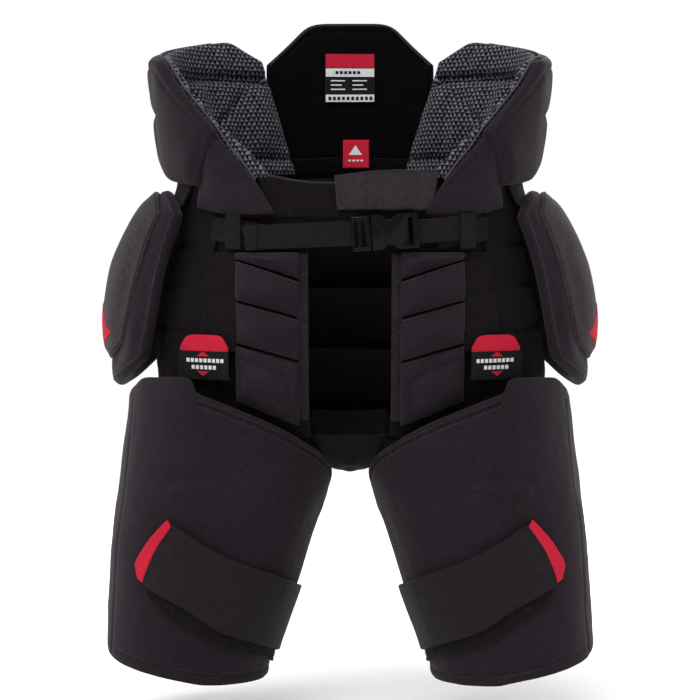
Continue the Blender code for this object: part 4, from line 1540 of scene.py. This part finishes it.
@dataclass
class Gusset:
    """The stretch gusset between the legs, as rows of (y, height, half width)."""

    rows: tuple = (
        (69, 206, 31), (60, 184, 30), (36, 168, 22), (0, 160, 17), (-34, 164.5, 18), (-52, 174, 24),
        (-64, 192, 30),
    )
    centre: float = 300.0
    thick: float = 1.6
    across: int = 10
    length: float = 165.0

    def build(self) -> bpy.types.Object:
        """Makes the gusset's shell."""
        shares = np.linspace(0, 1, 33)
        line = walk(list(self.rows), shares, 0.6)
        y, z, half = line.T
        wide = np.linspace(-1, 1, self.across + 1)
        x = half[:, None] * wide[None, :]
        folds = 1.4 * np.sin(shares * 40)[:, None] * np.cos(wide * 5)[None, :] * (1 - wide**2)[None, :]
        sag = 3.0 * (wide**2)[None, :] + folds
        layers = []
        for wall in (0.0, self.thick):
            inward = np.stack([-y, self.centre - z], 1)
            inward /= np.linalg.norm(inward, axis=1, keepdims=True)
            move = wall + sag
            layers.append(
                np.stack([x, y[:, None] + inward[:, :1] * move, z[:, None] + inward[:, 1:] * move], 2)
            )
        points = np.concatenate([layer.reshape(-1, 3) for layer in layers])
        number = np.arange(len(points)).reshape(2, len(shares), self.across + 1)
        faces = [Pad.quads(number[0])[:, ::-1], Pad.quads(number[1])]
        for edge in (number[:, 0, :], number[:, -1, :], number[:, :, 0], number[:, :, -1]):
            faces.append(np.stack([edge[0, :-1], edge[0, 1:], edge[1, 1:], edge[1, :-1]], 1))
        mesh = bpy.data.meshes.new("crotch_cloth")
        mesh.from_pydata((points * MM).tolist(), [], np.concatenate(faces).tolist())
        shell = bmesh.new()
        shell.from_mesh(mesh)
        bmesh.ops.recalc_face_normals(shell, faces=shell.faces)
        shell.to_mesh(mesh)
        shell.free()
        mesh.materials.append(STRETCH.material())
        mesh.shade_smooth()
        piece = bpy.data.objects.new("crotch_cloth", mesh)
        bpy.context.scene.collection.objects.link(piece)
        smooth = piece.modifiers.new("smooth", "SUBSURF")
        smooth.levels = smooth.render_levels = 1
        settle(piece)
        layer = piece.data.uv_layers.new(name="along_surface")
        for loop in piece.data.loops:
            place = piece.data.vertices[loop.vertex_index].co
            layer.data[loop.index].uv = (place.x, place.y + place.z)
        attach(piece, "girdle")
        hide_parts("crotch_gusset")
        declare_sheet(piece)
        log.info("crotch_cloth: %d faces", len(piece.data.polygons))
        return piece


@dataclass
class Buckle:
    """A side-release buckle: the socket, the plug and its two sprung prongs.

    Its own axes run along the belt (x), through it (y) and up (z), from where the halves meet.
    """

    centre: float = 16.0
    belt_height: float = 348.0
    lift: float = 10.5
    height: float = 27.0
    depth: float = 9.0
    turn: float = 4.2
    tilt: float = 4.0
    slit: float = 10.4
    notch: float = 4.6

    def place(self) -> Matrix:
        """Where the buckle is, in metres."""
        front = FRONT.lifted(
            np.array([self.centre + 10]), np.array([self.belt_height]), np.array([self.lift])
        )
        spot = Vector((self.centre, front[0, 1], self.belt_height + 0.5)) * MM
        turn = Matrix.Rotation(math.radians(self.turn), 4, "Z")
        return Matrix.Translation(spot) @ turn @ Matrix.Rotation(-math.radians(self.tilt), 4, "Y")

    def plate(
        self, name: str, outline: Points, depth: float, holes: list[tuple], round_by: float
    ) -> bpy.types.Object:
        """A moulded plate with its outline in x and z.

        Args:
            name: the piece's name.
            outline: its corners.
            depth: how thick it is.
            holes: boxes cut out of it, as two corners each.
            round_by: how far its edges are rounded.

        Returns:
            The piece, in place.
        """
        shape = bmesh.new()
        face = shape.faces.new([shape.verts.new((x * MM, -depth / 2 * MM, z * MM)) for x, z in outline])
        made = bmesh.ops.extrude_face_region(shape, geom=[face])
        raised = [v for v in made["geom"] if isinstance(v, bmesh.types.BMVert)]
        bmesh.ops.translate(shape, verts=raised, vec=(0, depth * MM, 0))
        bmesh.ops.recalc_face_normals(shape, faces=shape.faces)
        mesh = bpy.data.meshes.new(name)
        shape.to_mesh(mesh)
        shape.free()
        piece = bpy.data.objects.new(name, mesh)
        bpy.context.scene.collection.objects.link(piece)
        cutters = [self.cutter(low, high) for low, high in holes]
        for cutter in cutters:
            cut = piece.modifiers.new("cut", "BOOLEAN")
            cut.operation, cut.object, cut.solver = "DIFFERENCE", cutter, "EXACT"
        rounding = piece.modifiers.new("round", "BEVEL")
        rounding.width, rounding.segments = round_by * MM, 3
        rounding.limit_method, rounding.angle_limit = "ANGLE", math.radians(35)
        settle(piece)
        for cutter in cutters:
            bpy.data.objects.remove(cutter)
        piece.data.transform(self.place())
        piece.data.materials.append(PLASTIC.material())
        piece.data.shade_smooth()
        piece.data.set_sharp_from_angle(angle=math.radians(35))
        return piece

    @staticmethod
    def cutter(low: tuple, high: tuple) -> bpy.types.Object:
        """A box between two corners, for cutting with."""
        shape = bmesh.new()
        bmesh.ops.create_cube(shape, size=1.0)
        for vert in shape.verts:
            vert.co = Vector([mix(low[k], high[k], vert.co[k] + 0.5) for k in range(3)]) * MM
        mesh = bpy.data.meshes.new("cutter")
        shape.to_mesh(mesh)
        shape.free()
        made = bpy.data.objects.new("cutter", mesh)
        bpy.context.scene.collection.objects.link(made)
        return made

    def socket_outline(self) -> Points:
        """The socket's outline, pinched above and below where the prongs show."""
        half = self.height / 2
        upper: Points = [(0.4, half)]
        for k in range(13):
            share = k / 12
            dip = self.notch * (0.5 - 0.5 * math.cos(math.tau * share)) ** 0.8
            upper.append((mix(7.5, 21.0, share), half - dip))
        upper.append((36.0, half))
        return [*upper, *[(x, -z) for x, z in reversed(upper)]]

    def build(self) -> None:
        """Makes the four pieces."""
        half, s = self.height / 2, self.slit
        socket_holes = [
            ((-2, -2.9, -10.4), (24, 2.9, 10.4)), ((9, -2.9, -20), (19, 2.9, 20)),
            ((28.5, -9, -s), (32, 9, s)),
        ]
        socket = self.plate("buckle_body", self.socket_outline(), self.depth, socket_holes, 0.9)
        plug_holes = [((-13.0, -9, -s), (-10.4, 9, s)), ((-7.4, -9, -s), (-4.6, 9, s))]
        plug_outline = [(-15, -half), (-15, half), (-0.4, half), (-0.4, -half)]
        plug = self.plate("buckle_fork", plug_outline, 7.2, plug_holes, 1.1)
        pieces = [(socket, "girdle", "buckle_socket"), (plug, "belt", "buckle_plug")]
        for word, sign in (("upper", 1), ("lower", -1)):
            outline = [(0, 5.6), (10, 6.4), (19, 7.4), (20, 8.2), (17, 9.9), (12, 9.9), (10, 8.8), (0, 8.2)]
            mirrored = [(x, sign * z) for x, z in outline]
            prong = self.plate(f"buckle_tooth_{word}", mirrored, 4.4, [], 0.5)
            pieces.append((prong, f"prong_{word}", f"buckle_prong_{word}"))
        for piece, body, node in pieces:
            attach(piece, body)
            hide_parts(node)
            log.info("%s: %d faces", piece.name, len(piece.data.polygons))


@dataclass
class HipPad:
    """A floating hip pad: a bound foam base with a domed cap."""

    side: int
    foam: float = 14.0

    def build(self) -> list[Pad]:
        """Makes the base and the cap."""
        word = WORDS[self.side]
        base = Pad(
            f"hip_cushion_{word}", HIP, [(70, 250), (80, 235), (91, 227), (101, 232), (110, 250)],
            [(68, 364), (76, 379), (90, 384), (104, 379), (112, 364)], 0.0, self.foam - 1.0, SHELL,
            f"hip_{word}", (f"hip_base_{word}",), self.side, rim=6.5, pull=0.22, puff=2.5,
            waves=(Wave(0.5, 28, 61), Wave(0.25, 10, 62)), fill=0.8,
        )
        cap = Pad(
            f"hip_dome_{word}", HIP, [(76, 262), (84, 252), (92, 247), (100, 250), (107, 262)],
            [(73, 360), (80, 375), (90, 380), (100, 375), (107, 360)], self.foam - 2.0, self.foam + 4.0,
            SHELL_FINE, f"hip_{word}", (f"hip_cap_{word}",), self.side, crown=6.0, rim=6.0, pull=0.25,
            puff=3.0, waves=(Wave(0.4, 30, 63),), fill=0.9,
        )
        cap.seams = (Seam(((80, 256), (86, 275), (88, 320), (86, 368)), 0.0, 2.0, ()),)
        return [base, cap]

    def dress(self, pads: dict[str, Pad], sewing: Sewing) -> None:
        """Adds the cord round the cap and the base."""
        word = WORDS[self.side]
        cap, base = pads[f"hip_dome_{word}"], pads[f"hip_cushion_{word}"]
        flash = ((80.0, 270.7), (95.0, 252.0), (95.0, 300.0), (80.0, 271.3))
        Applique(cap, RED, [flash], 0.5, 16).build(f"hip_flash_{word}")
        for edge in ("upper", "lower", "first", "last"):
            sewing.pipe(cap, cap.border(1.0, 0.0, 1.0, edge), 0.8, PIPING, -0.2)
            sewing.pipe(base, base.border(3.0, 0.0, 1.0, edge), 0.7, PIPING, -0.3)


@dataclass
class Leg:
    """One leg: stretch sleeve, foam lining, thigh guard, strap and height tab."""

    side: int
    top: Points = field(
        default_factory=lambda: [
            (-104, 148), (-90, 153), (-72, 168), (-56, 179), (-40, 189), (-26, 200), (-13, 209.5),
            (0, 217.5), (9, 223), (15, 226.5), (17.5, 229), (19, 237), (22, 239), (34, 238.5), (48, 237),
            (60, 230), (78, 222), (100, 218), (125, 212), (150, 190),
        ]
    )
    foot: Points = field(
        default_factory=lambda: [
            (-104, 4), (-75, 0), (-45, 0), (-15, 0), (10, 5), (45, 13), (90, 25), (120, 24), (150, 16)
        ]
    )
    strap_low: Points = field(
        default_factory=lambda: [
            (-208, 20), (-150, 18), (-100, 21), (-70, 26), (-49, 33), (-18, 44), (6, 62), (30.5, 77)
        ]
    )
    strap_top: Points = field(
        default_factory=lambda: [
            (-208, 72), (-150, 71), (-100, 74), (-70, 79), (-53, 84), (-20, 98.5), (1, 111.5), (22, 129)
        ]
    )
    hinge: float = -41.0
    strap_out: float = 16.1
    strap_thick: float = 2.2

    def sleeve_foot(self, degrees: float) -> float:
        """The hem's height: short inside the guard, on the floor at the back."""
        behind = 0.5 - 0.5 * math.cos(math.radians(degrees - 20))
        return mix(26.0, 2.0, min(1.0, max(0.0, (behind - 0.82) / 0.15)))

    def build(self) -> list[Pad]:
        """Makes the leg's pads, sleeve and straps."""
        word = WORDS[self.side]
        leg, thigh, strap_body = f"leg_{word}", f"thigh_{word}", f"strap_{word}"
        around = np.linspace(-180, 180, 25)
        sleeve = Pad(
            f"stretch_sleeve_{word}", THIGH, [(float(a), self.sleeve_foot(a)) for a in around],
            [(float(a), 194 + 8 * math.sin(math.radians(a))) for a in around], 0.0, 1.6, STRETCH, leg,
            (f"leg_sleeve_{word}",), self.side, cell=9.0, pull=0.0, rim=0.8,
            waves=(Wave(1.6, 38, 71), Wave(0.7, 15, 72)), fill=None,
            joined=("girdle", leg, (self.side * 0.1, 0, 0.192), (self.side * 0.1, 0, 0.152)),
        )
        lining = Pad(
            f"guard_lining_{word}", THIGH, edge_part(self.foot, -98, 144, 5.0),
            edge_part(self.top, -98, 144, -13.0), 3.0, 7.6, FOAM, thigh, (f"thigh_liner_{word}",),
            self.side, cell=10.0, levels=1, pull=0.03, waves=(Wave(0.8, 30, 73),), fill=0.5,
        )
        guard = Pad(
            f"thigh_shell_{word}", THIGH,
            [(u, z) for (u, _), z in zip(self.top, self.foot_under(self.top))], self.top, 8.4, 12.2, SHELL,
            thigh, (f"thigh_guard_{word}",), self.side, cell=6.0, rim=2.4, soft=0.12, pull=0.0, puff=1.5,
            waves=(Wave(1.3, 60, 74), Wave(0.7, 26, 75), Wave(0.25, 9, 76)), fill=0.6,
        )
        guard.seams = (
            Seam(guard.border(6.8, 0.06, 0.47, "upper"), 2.4, 1.2, (), 1, 5),
            Seam(guard.border(4.4, 0.06, 0.47, "upper"), 0.3, 1.0, (0.0,), 1, 5),
            Seam(guard.border(9.4, 0.06, 0.47, "upper"), 0.4, 1.0, (0.0,), 1, 5),
            Seam(guard.border(9.0, 0.01, 0.75, "lower"), 1.3, 1.6, (1.6,), 1, 6),
            Seam(((60, 218), (62, 120), (60, 22)), 1.2, 2.2, (1.8,), 1, 5),
            Seam(((24, 151), (16, 154), (8, 152)), -2.4, 4.5, (), 1, 3),
            Seam(((26, 162), (14, 165), (2, 162)), 1.8, 4.5, (), 1, 3),
            Seam(((-14, 150), (-24, 146), (-34, 147)), 1.4, 5.0, (), 1, 3),
            Seam(((-52, 52), (-20, 68), (10, 88), (26, 96)), 0.0, 2.0, (), 1, 38),
        )
        patch = Pad(
            f"patch_cloth_{word}", THIGH,
            [(-80, 12), (-52, 22), (-35, 26), (-18, 33), (6, 49), (24, 62), (31.5, 74)],
            [(-80, 70), (-52, 76), (-35, 84), (-18, 92), (6, 106), (20, 112), (26, 112)], 12.6, 15.4, PATCH,
            thigh, (f"strap_patch_{word}",), self.side, cell=7.0, pull=0.05, rim=1.2, fill=None,
        )
        wrap = self.strap_part(f"strap_round_{word}", -208, -50.0, thigh, f"strap_wrap_{word}", 9)
        strap = self.strap_part(f"strap_front_{word}", -52.0, 34.0, strap_body, f"thigh_strap_{word}", 12)
        strap.seams = (Seam(((-49, 36), (-49.5, 58), (-50, 82)), 0.5, 1.0, (-1.0, 1.0)),)
        band = Pad(
            f"strap_band_{word}", THIGH, [(31.5, 80), (30.5, 88), (26, 108), (20.0, 125)],
            [(35, 83), (38.2, 95), (31.5, 113), (23, 130.5)], self.strap_out - 0.9,
            self.strap_out + self.strap_thick + 0.5, RED, strap_body, (), self.side, cell=4.0, pull=0.0,
            rim=1.0, soft=0.1, fill=None,
        )
        hinge = self.hinge_points()
        strap.joined = (thigh, strap_body, *hinge)
        tabs = self.height_tab(word)
        return [sleeve, lining, guard, patch, wrap, strap, band, *tabs]

    def foot_under(self, top: Points) -> list[float]:
        """The guard's lower edge at the upper edge's places."""
        degrees, heights = zip(*self.foot)
        return [float(np.interp(u, degrees, heights)) for u, _ in top]

    def hinge_points(self) -> tuple[tuple, tuple]:
        """Where the strap's bend starts and ends, in metres."""
        ends = np.array([self.hinge - 4.0, self.hinge + 4.0])
        middle = np.array([54.0, 57.0])
        spots = THIGH.lifted(ends, middle, np.full(2, self.strap_out))
        spots[:, 0] *= self.side
        return tuple(tuple(float(c) * MM for c in spot) for spot in spots)

    def strap_part(self, name: str, start: float, end: float, body: str, node: str, count: int) -> Pad:
        """Part of the thigh strap between two angles.

        Args:
            name: the piece's name.
            start: the first angle.
            end: the last one.
            body: the body it rides on.
            node: the node it stands for.
            count: how many points its edges take.

        Returns:
            The strap.
        """
        low, high = (
            edge_part(
                edge, start, min(end, edge[-1][0]), 0.0, count
            ) for edge in (self.strap_low, self.strap_top)
        )
        if end > 0:
            low, high = [*low, (35.0, 87.0)], [*high, (37.5, 97.0)]
        return Pad(
            name, THIGH, low, high, self.strap_out - 0.4, self.strap_out + self.strap_thick, ELASTIC, body,
            (node,), self.side, cell=6.0, pull=0.0, rim=1.0, soft=0.06,
            waves=(Wave(0.7, 34, 77), Wave(0.3, 12, 78)), fill=None,
        )

    def height_tab(self, word: str) -> list[Pad]:
        """The red tab and the printed label on it."""
        thin = {"side": self.side, "cell": 4.0, "fill": None, "rim": 0.5}
        body = f"tab_{word}"
        tab = Pad(
            f"red_tab_{word}", FRONT, [(90.5, 240), (95, 240), (117, 240), (121.5, 240)],
            [(89, 261.5), (94, 271), (118.5, 271), (123.5, 261.5)], 11.0, 12.6, RED, body,
            (f"height_tab_{word}",), pull=0.0, soft=0.05, **thin,
        )
        label = Pad(
            f"tab_label_{word}", FRONT, [(88.5, 238), (124.5, 238)], [(88.5, 259), (124.5, 259)], 12.6,
            13.6, LABEL, body, (), pull=0.0, **thin,
        )
        return [tab, label]

    def dress(self, pads: dict[str, Pad], sewing: Sewing) -> None:
        """Adds the height tab's printing and the patch's pile."""
        word = WORDS[self.side]
        label = pads[f"tab_label_{word}"]
        bars = bar_row(92, 121, 250.8, 253.6, 2.1, 0.9) + bar_row(97.5, 116, 245.8, 248.6, 2.1, 0.9)
        Applique(label, INK, bars, 0.25, 3).build(f"tab_bars_{word}")
        arrows = [wedge(106.5, 4.4, 255.2, 258.6), wedge(106.5, 4.4, 244.4, 241.0)]
        Applique(label, RED, arrows, 0.25, 4).build(f"tab_arrows_{word}")
        pile_on(f"patch_pile_{word}", pads[f"patch_cloth_{word}"], PATCH_LOOPS, 0.22, 0.8, 0.16)


# --- stage and assembly ---------------------------------------------------------------------


@dataclass(frozen=True)
class Studio:
    """The pale floor, the soft lights and the camera, in metres."""

    distance: float = 2.0
    eye_height: float = 0.29
    lens: float = 128.6
    sensor: float = 36.0
    shift: float = -40 / 700
    floor_gap: float = 0.03
    floor_half: float = 6.0
    floor_tone: float = 0.95
    ambient: float = 0.5
    sun_strength: float = 2.7
    sun_angle: float = 50.0
    sun_heading: tuple[float, float, float] = (0.35, 0.75, -1.1)
    aim: tuple[float, float, float] = (0.0, 0.0, 0.25)

    def build(self) -> None:
        """Sets the stage."""
        self.floor()
        self.world()
        self.sun()
        self.lamp("side_left", (-1.6, 0.35, 0.55), 1.0, 6.0)
        self.lamp("side_right", (1.6, 0.35, 0.55), 1.0, 5.5)
        self.lamp("behind", (0.5, 1.9, 1.3), 1.4, 26.0)
        camera = bpy.data.objects.new("camera", bpy.data.cameras.new("camera"))
        bpy.context.scene.collection.objects.link(camera)
        camera.location = (0.0, -self.distance, self.eye_height)
        camera.rotation_euler = (math.pi / 2, 0.0, 0.0)
        camera.data.lens = self.lens
        camera.data.sensor_width = self.sensor
        camera.data.shift_y = self.shift
        bpy.context.scene.camera = camera
        bpy.context.scene.view_settings.view_transform = "Standard"

    def floor(self) -> None:
        """A pale floor, a little under the hems so that the guards can slide down."""
        mesh = bpy.data.meshes.new("floor")
        half, z = self.floor_half, CAD_BOX[0].z - self.floor_gap
        corners = [(-half, -half, z), (half, -half, z), (half, half, z), (-half, half, z)]
        mesh.from_pydata(corners, [], [(0, 1, 2, 3)])
        floor = bpy.data.objects.new("floor", mesh)
        bpy.context.scene.collection.objects.link(floor)
        material = bpy.data.materials.new("pale_floor")
        material.use_nodes = True
        shader = material.node_tree.nodes["Principled BSDF"]
        shader.inputs["Base Color"].default_value = rgba((self.floor_tone,) * 3)
        shader.inputs["Roughness"].default_value = 0.9
        shader.inputs["Specular IOR Level"].default_value = 0.1
        mesh.materials.append(material)

    def world(self) -> None:
        """An even white surround, dimmer as a light than as a background."""
        world = bpy.data.worlds.new("studio")
        world.use_nodes = True
        world.node_tree.nodes.clear()
        w = Wiring(world.node_tree)
        seen = w.add("ShaderNodeLightPath").outputs["Is Camera Ray"]
        strength = w.math("ADD", w.math("MULTIPLY", seen, 1.0 - self.ambient), self.ambient)
        background = w.add("ShaderNodeBackground", {"Color": (1.0, 1.0, 1.0, 1.0), "Strength": strength})
        w.add("ShaderNodeOutputWorld", {"Surface": background.outputs[0]})
        bpy.context.scene.world = world

    def sun(self) -> None:
        """A broad soft light from the upper front left."""
        light = bpy.data.lights.new("sky_panel", "SUN")
        light.energy, light.angle = self.sun_strength, math.radians(self.sun_angle)
        lamp = bpy.data.objects.new("sky_panel", light)
        bpy.context.scene.collection.objects.link(lamp)
        lamp.rotation_euler = Vector(self.sun_heading).to_track_quat("-Z", "Y").to_euler()

    def lamp(self, name: str, place: tuple[float, float, float], size: float, power: float) -> None:
        """A square soft light that faces the object's middle."""
        light = bpy.data.lights.new(name, "AREA")
        light.size, light.energy = size, power
        lamp = bpy.data.objects.new(name, light)
        bpy.context.scene.collection.objects.link(lamp)
        lamp.location = place
        aim = Vector(self.aim) - lamp.location
        lamp.rotation_euler = aim.to_track_quat("-Z", "Y").to_euler()


def main() -> None:
    """Builds the stage, then every sub-assembly in order."""
    logging.basicConfig(level=logging.INFO, format="%(message)s", stream=sys.stdout)
    Studio().build()
    parts = [BackRest(), WaistClosure()]
    for side in WORDS:
        parts += [KidneyWrap(side), FrontPanels(side), HipPad(side), Leg(side)]
    pads = [pad for part in parts for pad in part.build()]
    for pad in pads:
        pad.build()
    Swelling().run(pads)
    for pad in pads:
        pad.refine()
    named = {pad.name: pad for pad in pads}
    sewing = Sewing()
    for part in parts:
        part.dress(named, sewing)
    for pad in pads:
        sewing.stitch(pad)
        pad.hand_over()
    sewing.make()
    Gusset().build()
    Buckle().build()


if __name__ == "__main__":
    main()
